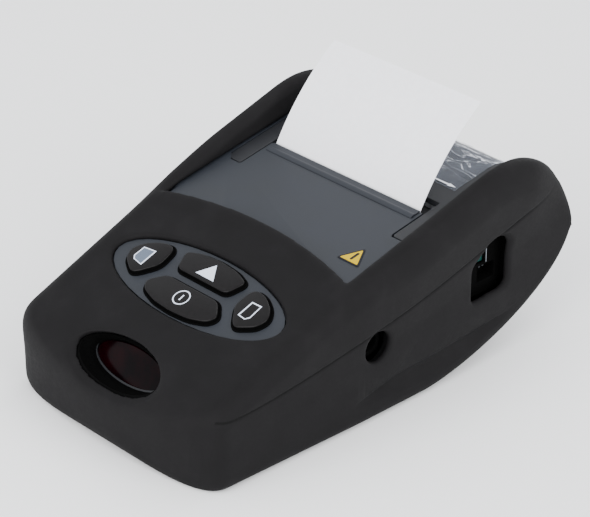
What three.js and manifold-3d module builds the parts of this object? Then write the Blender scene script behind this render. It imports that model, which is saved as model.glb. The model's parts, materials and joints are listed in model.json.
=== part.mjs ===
// Portable receipt and label printer in a rubber boot: 58 mm roll paper, clamshell lid, four keys.
// Millimetres. +Z up, +Y towards the hinge at the rear, +X to the side with the sockets.
// The origin is on the floor under the middle of the body.
import * as THREE from 'three';
import { mergeVertices } from 'three/addons/utils/BufferGeometryUtils.js';
import Module from 'manifold-3d';

const wasm = await Module();
wasm.setup();

// ---------------------------------------------------------------- driving dimensions
const HALF_LENGTH = 70;
const HALF_WIDTH = 42.4;             // flat side wall of the boot
const RAIL_BULGE = 2.4;              // how far the rails swell past the side wall
const BOOT_THICKNESS = 2.0;
const FIT_GAP = 0.3;
const CASE_WALL = 1.7;
const CASE_INSET = BOOT_THICKNESS + FIT_GAP;
const CAVITY_INSET = CASE_INSET + CASE_WALL;
const PARTING_Z = 24;                // where the upper and lower case meet

const PAPER_HALF = 28.75;            // half of the 57.5 mm paper
const ROLL = { y: 43, z: 31, radius: 16, coreOuter: 7.5, coreInner: 6 };
const PLATEN = { y: 26, z: 42.6, radius: 4, shaft: 1.5 };
const HINGE = { y: 63.6, z: 24.4, pin: 1.0, knuckle: 2.4 };
const RAIL_PEAK = { y: 42.8, z: 32.6, radius: 27.2 };   // arc that rounds the rear of the rails
const NOSE = { y: -58, z: 11, radius: 12 };             // where the front starts to round off

const TEAR_Y = 21.5;                 // where the paper leaves, behind the tear bar
const ROOF_Z = 48.3;                 // height of the roof plane there
const ROOF_SLOPE = 0.184;
const ROOF = { bendY: 47, bendRadius: 12.5, bendEnd: 75, drop: 18 };
const LID_HALF = 36.1;
const LEG_OUTER = 38.4;              // inner leg of the boot's rails, from LID_HALF to here
const LID_FOOT = { y: 58, z: 19.7 };  // the body is open behind and above this, between the rails
const ARM_FRONT = 9.1;
const ARM_INNER = 30.3;

const KEYPAD = { y: -34.6, z: 35.13, slope: 0.384, halfLong: 33, halfShort: 12 };
const KEY_TOP = 0.3;
const WINDOW = { y: -63.1, z: 23.1, tilt: 56, halfWide: 16.3, halfTall: 7.2 };
const JACK = { y: -7.3, z: 22.8, radius: 4.5 };
const CELL = { radius: 7.1, pitch: 14.8, z: 9.7, front: -51, back: -1.6 };
const GEAR_MODULE = 0.5;
const TEETH = { platen: 16, idler: 28, pinion: 10 };
const GEAR_X = [-36.2, -34.2];
const WALL_SPAN = 60;                // long enough to pass right through the body

const radians = THREE.MathUtils.degToRad;
const clamp = THREE.MathUtils.clamp;
const lerp = THREE.MathUtils.lerp;

// ---------------------------------------------------------------- materials
function material(color, roughness, metalness = 0) {
  return new THREE.MeshStandardMaterial({ color, roughness, metalness });
}
const RUBBER = material('#2b2a2b', 0.85);
const SLATE = material('#4e525c', 0.5);
const LID_GREY = material('#45464a', 0.5);
const KEY_BLACK = material('#343032', 0.4);
const STEEL = material('#8c9096', 0.35, 0.9);
const BOARD = material('#1d5a38', 0.6);
const BLACK_PLASTIC = material('#18181a', 0.5);
const WHITE_PAPER = material('#f2f2f6', 0.8);
const FILM = material('#b9c3d6', 0.1);
const RED_WINDOW = material('#3a0509', 0.1);
const YELLOW = material('#ffd800', 0.5);
const CELL_GREEN = material('#2f6f4a', 0.4);
const NYLON = material('#d9d6c8', 0.5);
const CARDBOARD = material('#b08a5a', 0.9);

// ---------------------------------------------------------------- solids
const printer = new THREE.Group();

// A closed three.js geometry as a solid that can be joined and cut.
function solid(geometry) {
  geometry.deleteAttribute('normal');
  geometry.deleteAttribute('uv');
  const merged = mergeVertices(geometry, 1e-4);
  return new wasm.Manifold(new wasm.Mesh({
    numProp: 3,
    vertProperties: new Float32Array(merged.attributes.position.array),
    triVerts: new Uint32Array(merged.index.array),
  }));
}

function addMesh(name, shape, look, parent = printer) {
  const { numProp, vertProperties, triVerts } = shape.getMesh();
  const corners = new Float32Array((vertProperties.length / numProp) * 3);
  for (let i = 0; i < corners.length / 3; i += 1) {
    for (let axis = 0; axis < 3; axis += 1) corners[3 * i + axis] = vertProperties[numProp * i + axis];
  }
  const geometry = new THREE.BufferGeometry();
  geometry.setAttribute('position', new THREE.BufferAttribute(corners, 3));
  geometry.setIndex(new THREE.BufferAttribute(new Uint32Array(triVerts), 1));
  geometry.computeVertexNormals();
  const mesh = new THREE.Mesh(geometry, look);
  mesh.name = name;
  parent.add(mesh);
}

// Box between two corners.
function block([x0, y0, z0], [x1, y1, z1]) {
  const geometry = new THREE.BoxGeometry(x1 - x0, y1 - y0, z1 - z0);
  return solid(geometry.translate((x0 + x1) / 2, (y0 + y1) / 2, (z0 + z1) / 2));
}

// Outline in X and Y, raised from z0 to z1.
function raised(shape, z0, z1) {
  const geometry = new THREE.ExtrudeGeometry(shape, { depth: z1 - z0, bevelEnabled: false, curveSegments: 3 });
  return solid(geometry.translate(0, 0, z0));
}

// Outline in Y and Z, run along X from x0 to x1.
function alongX(shape, x0, x1) {
  const geometry = new THREE.ExtrudeGeometry(shape, { depth: x1 - x0, bevelEnabled: false, curveSegments: 3 });
  geometry.applyMatrix4(new THREE.Matrix4().set(0, 0, 1, x0, 1, 0, 0, 0, 0, 1, 0, 0, 0, 0, 0, 1));
  return solid(geometry);
}

function rodX(radius, y, z, x0, x1, sides = 20) {
  const geometry = new THREE.CylinderGeometry(radius, radius, x1 - x0, sides);
  return solid(geometry.rotateZ(Math.PI / 2).translate((x0 + x1) / 2, y, z));
}

function rodY(radius, x, z, y0, y1, sides = 16) {
  return solid(new THREE.CylinderGeometry(radius, radius, y1 - y0, sides).translate(x, (y0 + y1) / 2, z));
}

function rodZ(radius, x, y, z0, z1, sides = 12) {
  const geometry = new THREE.CylinderGeometry(radius, radius, z1 - z0, sides);
  return solid(geometry.rotateX(Math.PI / 2).translate(x, y, (z0 + z1) / 2));
}

function shapeOf(points) {
  return new THREE.Shape(points.map(([a, b]) => new THREE.Vector2(a, b)));
}

// Polygon whose corners are rounded back by the given distance.
function softShape(points, reach) {
  const corners = points.map(([a, b]) => new THREE.Vector2(a, b));
  const shape = new THREE.Shape();
  corners.forEach((corner, i) => {
    const before = corners[(i + corners.length - 1) % corners.length];
    const after = corners[(i + 1) % corners.length];
    const step = (to) => to.clone().sub(corner).setLength(Math.min(reach, corner.distanceTo(to) / 2.2)).add(corner);
    const start = step(before);
    const end = step(after);
    if (i === 0) shape.moveTo(start.x, start.y);
    else shape.lineTo(start.x, start.y);
    shape.quadraticCurveTo(corner.x, corner.y, end.x, end.y);
  });
  return shape;
}

function ellipse(halfWide, halfTall, points = 32) {
  const curve = new THREE.EllipseCurve(0, 0, halfWide, halfTall);
  return new THREE.Shape(curve.getPoints(points).slice(0, points));
}

const bothSides = (build) => build(1).add(build(-1));

// ---------------------------------------------------------------- body form
function keypadPlane(y) {
  return KEYPAD.z + KEYPAD.slope * (y - KEYPAD.y);
}

// Height of the top of the body: rounded nose, keypad slope, straight rails, round rear.
function crestAt(y) {
  if (y > 34.55) return RAIL_PEAK.z + Math.sqrt(Math.max(0, RAIL_PEAK.radius ** 2 - (y - RAIL_PEAK.y) ** 2));
  const straight = Math.min(keypadPlane(y), 47.87 + 0.31 * y);
  const nose = clamp((NOSE.y - y) / NOSE.radius, 0, 1);
  return NOSE.z + (straight - NOSE.z) * (1 - nose ** 2.3) ** 0.435;
}

// Height of the underside: rounded front edge, flat foot, long rise to the rear.
function undersideAt(y) {
  if (y < -64) return 9 - 9 * (1 - clamp((-64 - y) / 6, 0, 1) ** 3) ** 0.333;
  if (y < 12) return 0;
  const rise = clamp((y - 12) / (HALF_LENGTH - 12), 0, 1);
  return RAIL_PEAK.z * (1 - (1 - rise ** 1.5) ** 0.53);
}

function halfWidthAt(y) {
  const front = clamp((y + HALF_LENGTH) / NOSE.radius, 0, 1);
  const rounded = (1 - (1 - front) ** 3.6) ** 0.68;
  return rounded * lerp(41.2, HALF_WIDTH, clamp((y - NOSE.y) / 45, 0, 1));
}

function seamAt(y) {
  return 21.6 + 0.0145 * Math.max(0, y + 57) ** 1.57;
}

// Height of the seam as a share of the body's height there.
function seamShare(y) {
  const low = undersideAt(y);
  return clamp((seamAt(y) - low) / (crestAt(y) - low), 0.3, 0.48);
}

// Station of the body moved inwards: beyond the nose and tail centres it shrinks towards them.
function insetStation(y, inset) {
  const end = y < NOSE.y ? NOSE : RAIL_PEAK;
  const isEnd = y < NOSE.y || y > RAIL_PEAK.y;
  const topShare = isEnd ? (crestAt(y) - end.z) / (crestAt(end.y) - end.z) : 1;
  const bottomShare = isEnd ? (end.z - undersideAt(y)) / (end.z - undersideAt(end.y)) : 1;
  const sideShare = y < NOSE.y ? halfWidthAt(y) / halfWidthAt(NOSE.y) : 1;
  return {
    y: isEnd ? end.y + (y - end.y) * (1 - inset / end.radius) : y,
    high: crestAt(y) - inset * topShare,
    low: undersideAt(y) + inset * bottomShare,
    wide: halfWidthAt(y) - inset * sideShare,
  };
}

const FOOT_STEPS = 3;
const CROWN_STEPS = 4;

// Ring of points around the body at one station, moved inwards by the inset.
function bodyRing(station, inset) {
  const { y, ...edge } = insetStation(station, inset);
  const wide = Math.max(edge.wide, 2);
  const low = Math.min(edge.low, edge.high - 1);
  const { high } = edge;
  const foot = Math.min(3.5, (high - low) * 0.4, wide * 0.45);
  const rail = THREE.MathUtils.smoothstep(station, -25, 12);
  const crown = {
    x: Math.min(lerp(5.5, 3.6, rail), wide * 0.45),
    z: Math.min(lerp(5.5, 9, rail), (high - low) * 0.4),
  };
  const tail = THREE.MathUtils.smoothstep(station, 50, 66);
  const bulge = Math.min(lerp(0.4, RAIL_BULGE, rail), wide * 0.06) * (1 - tail);
  const half = [[0, low]];
  for (let i = 0; i <= FOOT_STEPS; i += 1) {
    const turn = radians(-90 + (90 / FOOT_STEPS) * i);
    half.push([wide - foot + foot * Math.cos(turn), low + foot + foot * Math.sin(turn)]);
  }
  half.push([wide, lerp(low, high, seamShare(station))]);
  for (let i = 0; i <= CROWN_STEPS; i += 1) {
    const turn = radians((90 / CROWN_STEPS) * i);
    half.push([wide + bulge - crown.x * (1 - Math.cos(turn)), high - crown.z * (1 - Math.sin(turn))]);
  }
  half.push([0, high]);
  const mirrored = half.slice(1, -1).reverse().map(([x, z]) => [-x, z]);
  return [...half, ...mirrored].map(([x, z]) => new THREE.Vector3(x, y, z));
}

// Closed skin through rings that all have the same number of points.
function loft(rings) {
  const count = rings[0].length;
  const middle = (ring) => ring.reduce((sum, point) => sum.add(point), new THREE.Vector3()).divideScalar(count);
  const points = [...rings.flat(), middle(rings[0]), middle(rings.at(-1))];
  const index = [];
  for (let i = 0; i < count; i += 1) {
    const next = (i + 1) % count;
    for (let ring = 0; ring < rings.length - 1; ring += 1) {
      const near = ring * count;
      const far = near + count;
      index.push(near + i, far + next, near + next, near + i, far + i, far + next);
    }
    const last = (rings.length - 1) * count;
    index.push(points.length - 2, i, next);
    index.push(points.length - 1, last + next, last + i);
  }
  const geometry = new THREE.BufferGeometry().setFromPoints(points);
  geometry.setIndex(index);
  return solid(geometry);
}

const STATIONS = [-70, -69.3, -68, -66, -63, -58, -46, -30, -16, -7.4, 4, 12, 22, 34.55, 42.6, 50, 57, 62.5, 66.5, 69,
  70];

function body(inset) {
  return loft(STATIONS.map((y) => bodyRing(y, inset)));
}

// ---------------------------------------------------------------- roof form
// Roof and lid in profile: plane, rear bend, straight drop to the hinge. Inset moves it inwards.
function roofCurve(startY, inset) {
  const tilt = Math.atan(ROOF_SLOPE);
  const bendZ = ROOF_Z + ROOF_SLOPE * (ROOF.bendY - TEAR_Y);
  const centreY = ROOF.bendY + ROOF.bendRadius * Math.sin(tilt);
  const centreZ = bendZ - ROOF.bendRadius * Math.cos(tilt);
  const radius = ROOF.bendRadius - inset;
  const points = [[startY, roofPlane(startY) - inset / Math.cos(tilt)]];
  const steps = 10;
  for (let i = 0; i <= steps; i += 1) {
    const turn = lerp(-tilt, radians(ROOF.bendEnd), i / steps);
    points.push([centreY + radius * Math.sin(turn), centreZ + radius * Math.cos(turn)]);
  }
  const [endY, endZ] = points.at(-1);
  const down = radians(ROOF.bendEnd);
  points.push([endY + ROOF.drop * Math.cos(down), endZ - ROOF.drop * Math.sin(down)]);
  return points;
}

function roofPlane(y) {
  return ROOF_Z + ROOF_SLOPE * (y - TEAR_Y);
}

// Everything above and behind the roof, between two faces of constant X.
function aboveRoof(x0, x1, startY, lift = 0) {
  const points = [...roofCurve(startY, -lift), [85, HINGE.z], [85, 90], [startY, 90]];
  return alongX(shapeOf(points), x0, x1);
}

// Room at the rear in which the foot of the lid swings.
function lidFootRoom(half) {
  return block([-half, LID_FOOT.y, LID_FOOT.z], [half, 85, 60]);
}

function belowRoof(inset) {
  const points = [...roofCurve(-80, inset), [ROOF.bendY + 18, -10], [-80, -10]];
  return alongX(shapeOf(points), -WALL_SPAN, WALL_SPAN);
}

// Plan of the lid with its two arms; grow widens it, and centreFront is its edge between the arms.
function lidPlan(grow, centreFront) {
  const outer = LID_HALF + grow;
  const inner = ARM_INNER - grow;
  const front = ARM_FRONT - grow;
  const corner = 2.5;
  return shapeOf([
    [-outer, 90], [-outer, front + corner], [-outer + corner, front], [-inner - 0.6, front], [-inner, front + 0.6],
    [-inner, centreFront], [inner, centreFront], [inner, front + 0.6], [inner + 0.6, front],
    [outer - corner, front], [outer, front + corner], [outer, 90],
  ]);
}

// ---------------------------------------------------------------- tilted frames
function tiltedGroup(y, z, degrees) {
  const group = new THREE.Group();
  group.position.set(0, y, z);
  group.rotation.x = radians(degrees);
  printer.add(group);
  group.updateMatrixWorld(true);
  return group;
}
const KEYPAD_TILT = THREE.MathUtils.radToDeg(Math.atan(KEYPAD.slope));
const keypad = tiltedGroup(KEYPAD.y, KEYPAD.z, KEYPAD_TILT);
const nose = tiltedGroup(WINDOW.y, WINDOW.z, WINDOW.tilt);

// A solid drawn in a tilted group, as it lies in the printer.
function placed(shape, group) {
  return shape.transform(group.matrixWorld.toArray());
}

// ---------------------------------------------------------------- keys
function keyOutlines() {
  const page = [[15.2, 0.2], [15.6, 6], [17.4, 7.5], [21, 6.9], [25.2, 4.4], [27.6, 1], [26.4, -2.6], [21.3, -5.7],
    [19.2, -4.8]];
  return {
    key_status: page.map(([x, y]) => [-x, y]).reverse(),
    key_form: page,
    key_feed: [[-9.8, 2], [9.8, 2], [12.2, 7.8], [7, 9.6], [0, 10.2], [-7, 9.6], [-12.2, 7.8]],
    key_power: [[-10.2, -1.2], [-14.4, -5.6], [-12.8, -8.3], [-7, -10.1], [0, -10.6], [7, -10.1], [12.8, -8.3],
      [14.4, -5.6], [10.2, -1.2]],
  };
}

// Outline grown outwards from its own middle by about the given distance.
function grown(points, distance) {
  const middle = points.reduce((sum, p) => [sum[0] + p[0] / points.length, sum[1] + p[1] / points.length], [0, 0]);
  return points.map(([x, y]) => {
    const reach = Math.hypot(x - middle[0], y - middle[1]);
    const scale = 1 + (distance * 1.25) / reach;
    return [middle[0] + (x - middle[0]) * scale, middle[1] + (y - middle[1]) * scale];
  });
}

const KEY_CORNER = 2;
const FLANGE = { low: -5.2, high: -4.1 };

function addKeys() {
  for (const [name, outline] of Object.entries(keyOutlines())) {
    const cap = raised(softShape(outline, KEY_CORNER), FLANGE.low, KEY_TOP);
    const flange = raised(softShape(grown(outline, 0.7), KEY_CORNER), FLANGE.low, FLANGE.high);
    addMesh(name, cap.add(flange), KEY_BLACK, keypad);
  }
}

function keyHoles() {
  return Object.values(keyOutlines())
    .map((outline) => raised(softShape(grown(outline, 0.35), KEY_CORNER), -12, 4))
    .reduce((sum, hole) => sum.add(hole));
}

function addKeypadBoard() {
  addMesh('keypad_board', raised(ellipse(30, 10.6), -10, -8.6), BOARD, keypad);
  const places = { status: [-21, 1], form: [21, 1], feed: [0, 5.6], power: [0, -5.6] };
  for (const [key, [x, y]] of Object.entries(places)) {
    addMesh(`switch_${key}`, rodZ(2.6, x, y, -8.4, -6.5), STEEL, keypad);
  }
}

// ---------------------------------------------------------------- housing
const BOSSES = [[34.6, -46], [-34.6, -46], [35.8, 4], [-35.8, 4]];
const BOSS_RADIUS = 3.4;

function hoodEdge() {
  // The hood's rear edge is a shallow arc, deepest at the rails.
  const edge = [];
  for (let i = 0; i <= 12; i += 1) {
    const x = lerp(-LID_HALF - FIT_GAP, LID_HALF + FIT_GAP, i / 12);
    edge.push([x, -8.6 - 7.4 * Math.abs(x / 38) ** 3.2]);
  }
  return edge;
}

// Square hole from x0 out through the right side.
function windowX(y0, y1, z0, z1, x0) {
  return block([x0, y0, z0], [WALL_SPAN, y1, z1]);
}

function addBoot() {
  const legs = bothSides((side) => aboveRoof(Math.min(side * (LID_HALF + FIT_GAP), side * LEG_OUTER),
    Math.max(side * (LID_HALF + FIT_GAP), side * LEG_OUTER), -30, FIT_GAP));
  const inside = body(BOOT_THICKNESS).subtract(legs);
  const reach = LID_HALF + FIT_GAP;
  const openTop = raised(shapeOf([...hoodEdge(), [reach, 90], [-reach, 90]]), 0, 90)
    .intersect(aboveRoof(-reach, reach, -30, -CASE_WALL - FIT_GAP));
  const portCut = softShape([[29, 24], [30.5, 22.5], [41.5, 22.5], [43, 24], [43, 37.5], [41, 38.8], [33, 37.5],
    [29, 33]], 1.5);
  const boot = body(0).subtract(inside)
    .subtract(openTop)
    .subtract(lidFootRoom(reach))
    .subtract(placed(raised(ellipse(KEYPAD.halfLong, KEYPAD.halfShort), -8, 8), keypad))
    .subtract(placed(raised(ellipse(WINDOW.halfWide, WINDOW.halfTall), -9, 14), nose))
    .subtract(rodX(JACK.radius, JACK.y, JACK.z, 30, WALL_SPAN))
    .subtract(alongX(portCut, 36.6, WALL_SPAN))
    .subtract(block([-33, -54, -1], [33, 12, 3]));
  addMesh('rubber_boot', boot, RUBBER);
}

function openingPlan() {
  return raised(lidPlan(FIT_GAP, TEAR_Y - 0.2), LID_FOOT.z, 90);
}

function addUpperCase() {
  const outer = body(CASE_INSET).subtract(aboveRoof(-LEG_OUTER - FIT_GAP, LEG_OUTER + FIT_GAP, -30));
  const hollow = body(CAVITY_INSET).intersect(belowRoof(CASE_WALL + 0.1));
  const bezel = placed(raised(ellipse(KEYPAD.halfLong - 0.4, KEYPAD.halfShort - 0.4), -3.4, -1.2), keypad);
  const above = block([-WALL_SPAN, -80, PARTING_Z + 0.15], [WALL_SPAN, 80, 90]);
  const posts = BOSSES.map(([x, y]) => rodZ(BOSS_RADIUS, x, y, PARTING_Z + 0.15, PARTING_Z + 6)
    .intersect(body(CASE_INSET)));
  const upper = outer.subtract(hollow).add(bezel).add(deckFront())
    .intersect(above)
    .subtract(openingPlan())
    .subtract(placed(keyHoles(), keypad))
    .subtract(windowHole())
    .subtract(rodX(JACK.radius - 0.1, JACK.y, JACK.z, 30, WALL_SPAN))
    .subtract(windowX(27, 45.8, 24.1, 41, 36));
  const drilled = BOSSES.reduce((rest, [x, y]) => rest.subtract(rodZ(1.3, x, y, 0, PARTING_Z + 3.8)),
    posts.reduce((sum, post) => sum.add(post), upper));
  addMesh('upper_case', drilled, SLATE);
}

// Front of the deck: it carries the roof's plane on to the hood's edge.
function deckFront() {
  const shrink = LID_HALF / (LID_HALF + FIT_GAP);
  const edge = hoodEdge().map(([x, y]) => [x * shrink, y + FIT_GAP]);
  const plan = shapeOf([...edge, [LID_HALF, 4], [-LID_HALF, 4]]);
  return raised(plan, 30, 60).intersect(belowRoof(0)).subtract(belowRoof(CASE_WALL));
}

function windowHole() {
  return placed(raised(ellipse(WINDOW.halfWide - 1.3, WINDOW.halfTall - 1), -10, 12), nose);
}

function hingeLug() {
  const arm = alongX(shapeOf([[57, 16.6], [59.4, 18.4], [62.2, 20.4], [65.6, 23], [62, 26.4], [57, 21]]), -18, 18);
  return arm.intersect(body(CASE_INSET)).add(rodX(HINGE.knuckle, HINGE.y, HINGE.z, -18, 18))
    .subtract(rodX(HINGE.pin + 0.1, HINGE.y, HINGE.z, -WALL_SPAN, WALL_SPAN));
}

function addLowerCase() {
  const below = block([-WALL_SPAN, -80, -5], [WALL_SPAN, 80, PARTING_Z - 0.15]);
  const tub = body(CASE_INSET).subtract(body(CAVITY_INSET)).intersect(below)
    .subtract(aboveRoof(-LEG_OUTER - FIT_GAP, LEG_OUTER + FIT_GAP, -30))
    .subtract(lidFootRoom(LEG_OUTER + FIT_GAP));
  const bulkhead = block([-38.5, 2.4, 3], [38.5, 4, 16]);
  const posts = BOSSES.map(([x, y]) => rodZ(BOSS_RADIUS, x, y, 2.6, PARTING_Z - 0.15));
  const lower = posts.reduce((sum, post) => sum.add(post), tub.add(bulkhead))
    .intersect(body(CASE_INSET))
    .add(hingeLug())
    .subtract(block([-30.8, -52.5, -1], [30.8, 1, 6]))
    .subtract(windowHole())
    .subtract(rodX(JACK.radius - 0.1, JACK.y, JACK.z, 30, WALL_SPAN));
  const drilled = BOSSES.reduce((rest, [x, y]) => rest.subtract(rodZ(1.6, x, y, -5, 60))
    .subtract(rodZ(2.9, x, y, -5, 5.6)), lower);
  addMesh('lower_case', drilled, BLACK_PLASTIC);
}

function addCaseScrews() {
  const names = ['case_screw_front_right', 'case_screw_front_left', 'case_screw_rear_right', 'case_screw_rear_left'];
  BOSSES.forEach(([x, y], i) => {
    const screw = rodZ(1.1, x, y, 5, PARTING_Z + 3.4).add(rodZ(2.5, x, y, 3.4, 5.3))
      .subtract(rodZ(1.2, x, y, 3, 4.4, 6));
    addMesh(names[i], screw, STEEL);
  });
}

function addBatteryCover() {
  const plate = block([-32.5, -53.4, 0.4], [32.5, 2, 2]);
  const grips = [-4, -2, 0].map((y) => block([-10, y - 0.4, 0.2], [10, y + 0.4, 1]));
  addMesh('battery_cover', grips.reduce((sum, grip) => sum.subtract(grip), plate), BLACK_PLASTIC);
}

// ---------------------------------------------------------------- electronics
function addWindow() {
  // The lens sits at the bottom of a short oval tunnel.
  const inside = (gap) => ellipse(WINDOW.halfWide - 2.2 - gap, WINDOW.halfTall - 1.9 - gap);
  const tunnel = raised(ellipse(WINDOW.halfWide - 1.4, WINDOW.halfTall - 1.1), -8.6, -2.5)
    .subtract(raised(inside(0), -9, -2));
  addMesh('window_tunnel', tunnel, BLACK_PLASTIC, nose);
  addMesh('ir_window', raised(inside(0.1), -7.8, -6.4), RED_WINDOW, nose);
  addMesh('ir_sensor', block([-3, -2.5, -11.4], [3, 2.5, -9.2]).add(rodZ(1.6, 0, 0, -9.4, -8.6)), BLACK_PLASTIC, nose);
}

function addMainBoard() {
  addMesh('main_board', block([-30.5, -50, 17.4], [30.5, 2, 18.6]), BOARD);
  addMesh('processor_chip', block([-18, -26, 18.7], [-6, -14, 20.3]), BLACK_PLASTIC);
}

function addJack() {
  const shell = block([29.5, -11.6, 18.9], [37.8, -3, 27.2]).add(rodX(4.05, JACK.y, JACK.z, 37.5, 38.4));
  const socket = rodX(2.8, JACK.y, JACK.z, 31.5, WALL_SPAN);
  addMesh('dc_jack', shell.subtract(socket).add(rodX(0.7, JACK.y, JACK.z, 31, 37.4, 12)), BLACK_PLASTIC);
}

function addPort() {
  // A black plate fills the case's opening; the socket is in its lower half, the board shows above it.
  const plate = block([36.9, 26.6, 20.4], [37.9, 46, 41.4]).subtract(windowX(34.4, 38.4, 30.2, 36.4, 36));
  const socket = block([32.6, 34.4, 23.2], [37, 43.6, 29.9]);
  addMesh('data_port', plate.add(socket).subtract(windowX(35.6, 42.4, 24.4, 29.2, 33.6)), BLACK_PLASTIC);
  addMesh('port_board', block([36.1, 30, 30.1], [36.8, 44, 38.8]), BOARD);
}

function addBatteries() {
  for (let i = 0; i < 4; i += 1) {
    const x = (i - 1.5) * CELL.pitch;
    const forward = i % 2 === 0;
    const nub = forward ? [CELL.front - 1.2, CELL.front + 0.1] : [CELL.back - 0.1, CELL.back + 1.2];
    const cell = rodY(CELL.radius, x, CELL.z, CELL.front, CELL.back).add(rodY(2.6, x, CELL.z, ...nub));
    addMesh(`battery_cell_${i + 1}`, cell, CELL_GREEN);
  }
}

function addContacts() {
  const strip = (y0, y1) => block([-28, y0, 4.6], [28, y1, 14]);
  addMesh('battery_contact_front', strip(-52.9, -52.4), STEEL);
  addMesh('battery_contact_rear', strip(-0.2, 0.3), STEEL);
}

// ---------------------------------------------------------------- print mechanism
// Gear ring with straight-flanked teeth in the Y-Z plane; turn sets the first tooth's direction.
function gear(teeth, y, z, turn, bore) {
  const pitchRadius = (teeth * GEAR_MODULE) / 2;
  const tip = pitchRadius + 0.8 * GEAR_MODULE;
  const root = pitchRadius - 1.2 * GEAR_MODULE;
  const points = [];
  for (let i = 0; i < teeth; i += 1) {
    for (const [offset, radius] of [[-0.29, root], [-0.1, tip], [0.1, tip], [0.29, root]]) {
      const angle = turn + ((i + offset) / teeth) * 2 * Math.PI;
      points.push([y + radius * Math.cos(angle), z + radius * Math.sin(angle)]);
    }
  }
  return alongX(shapeOf(points), ...GEAR_X).subtract(rodX(bore, y, z, -WALL_SPAN, WALL_SPAN));
}

const MESH_GAP = 0.12;               // extra centre distance, so that the teeth run free
const IDLER = meshedCentre(PLATEN, TEETH.platen, TEETH.idler, 240);
const PINION = meshedCentre(IDLER, TEETH.idler, TEETH.pinion, 211);

function meshedCentre(from, teethA, teethB, degrees) {
  const distance = ((teethA + teethB) * GEAR_MODULE) / 2 + MESH_GAP;
  return { y: from.y + distance * Math.cos(radians(degrees)), z: from.z + distance * Math.sin(radians(degrees)) };
}

// Direction of a driven gear's first tooth, half a tooth off the driver's tooth that faces it.
function meshedTurn(driverTurn, driverTeeth, teeth, degrees) {
  const line = radians(degrees);
  const phase = ((line - driverTurn) * driverTeeth) / (2 * Math.PI);
  return line + Math.PI + ((phase + 0.5) * 2 * Math.PI) / teeth;
}

function addGears() {
  const idlerTurn = meshedTurn(0, TEETH.platen, TEETH.idler, 240);
  const pinionTurn = meshedTurn(idlerTurn, TEETH.idler, TEETH.pinion, 211);
  addMesh('platen_gear', gear(TEETH.platen, PLATEN.y, PLATEN.z, 0, PLATEN.shaft + 0.05), NYLON);
  addMesh('idler_gear', gear(TEETH.idler, IDLER.y, IDLER.z, idlerTurn, 1.1), NYLON);
  addMesh('motor_pinion', gear(TEETH.pinion, PINION.y, PINION.z, pinionTurn, 0.85), STEEL);
  addMesh('idler_stud', rodX(1, IDLER.y, IDLER.z, -36.8, -31.5), STEEL);
}

function addPlaten() {
  const { y, z, radius, shaft } = PLATEN;
  const rubber = rodX(radius, y, z, -29.2, 29.2, 24).subtract(rodX(shaft + 0.1, y, z, -WALL_SPAN, WALL_SPAN));
  addMesh('platen_rubber', rubber, RUBBER);
  addMesh('platen_shaft', rodX(shaft, y, z, -36.2, 33.9), STEEL);
  for (const [name, side] of [['platen_bearing_right', 1], ['platen_bearing_left', -1]]) {
    const [x0, x1] = side > 0 ? [32, 33.6] : [-33.6, -32];
    const bush = rodX(2.6, y, z, x0, x1).subtract(rodX(shaft + 0.1, y, z, -WALL_SPAN, WALL_SPAN));
    addMesh(name, bush, NYLON);
  }
}

function addFrame() {
  const side = shapeOf([[4, 20.3], [25, 20.3], [30, 26], [30, 36], [24, 38.6], [4, 38.6]]);
  const cheeks = bothSides((hand) => alongX(side, hand > 0 ? 30.6 : -31.4, hand > 0 ? 31.4 : -30.6));
  const base = block([-31, 4, 20.3], [31, 22, 21.1]);
  addMesh('mech_frame', cheeks.add(base).subtract(rodX(2, PINION.y, PINION.z, -40, -30)), STEEL);
}

function addMotor() {
  const motor = rodX(6.6, PINION.y, PINION.z, -29.8, -17).add(rodX(0.75, PINION.y, PINION.z, -36.6, -29));
  addMesh('stepper_motor', motor, STEEL);
}

function addPrintHead() {
  addMesh('print_head', block([-28, 20.7, 38], [28, 21.3, 44.6]), BLACK_PLASTIC);
  const sink = block([-27, 14, 35.4], [27, 20.4, 44.4]);
  const slots = [-20, -12, -4, 4, 12, 20].map((x) => block([x - 2, 13, 34], [x + 2, 17, 50]));
  addMesh('heat_sink', slots.reduce((rest, slot) => rest.subtract(slot), sink), STEEL);
  addMesh('head_spring', ribbon([[12.6, 36], [11.2, 40], [12.8, 44]], 0.3, -8, 8), STEEL);
  addMesh('paper_sensor', block([5, 17.8, 30.5], [11, 20.6, 34.2]), BLACK_PLASTIC);
}

// Bent strip: a line in Y and Z with a thickness, run along X.
function ribbon(line, thickness, x0, x1) {
  const points = line.map(([y, z]) => new THREE.Vector2(y, z));
  const side = points.map((point, i) => {
    const before = points[Math.max(0, i - 1)];
    const after = points[Math.min(points.length - 1, i + 1)];
    const along = after.clone().sub(before).normalize();
    return new THREE.Vector2(-along.y, along.x).multiplyScalar(thickness / 2);
  });
  const left = points.map((point, i) => point.clone().add(side[i]));
  const right = points.map((point, i) => point.clone().sub(side[i])).reverse();
  return alongX(new THREE.Shape([...right.reverse(), ...left.reverse()]), x0, x1);
}

function addTearBar() {
  const top = roofPlane(TEAR_Y) + 0.5;
  const profile = [[17.7, roofPlane(17.7) + 0.1], [21.1, roofPlane(21.1) + 0.1], [21.4, top - 0.3], [21.2, top],
    [17.9, roofPlane(17.7) + 0.6]];
  addMesh('tear_bar', alongX(shapeOf(profile), -29, 29), SLATE);
}

// ---------------------------------------------------------------- paper
const NIP = { y: PLATEN.y - PLATEN.radius - 0.2, z: PLATEN.z };
const GUIDE = { y: NIP.y - 0.1, z: 37 };      // where the web turns up towards the print line
const STRIP = { lean: 48, length: 33.7, thickness: 0.14 };

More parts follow.
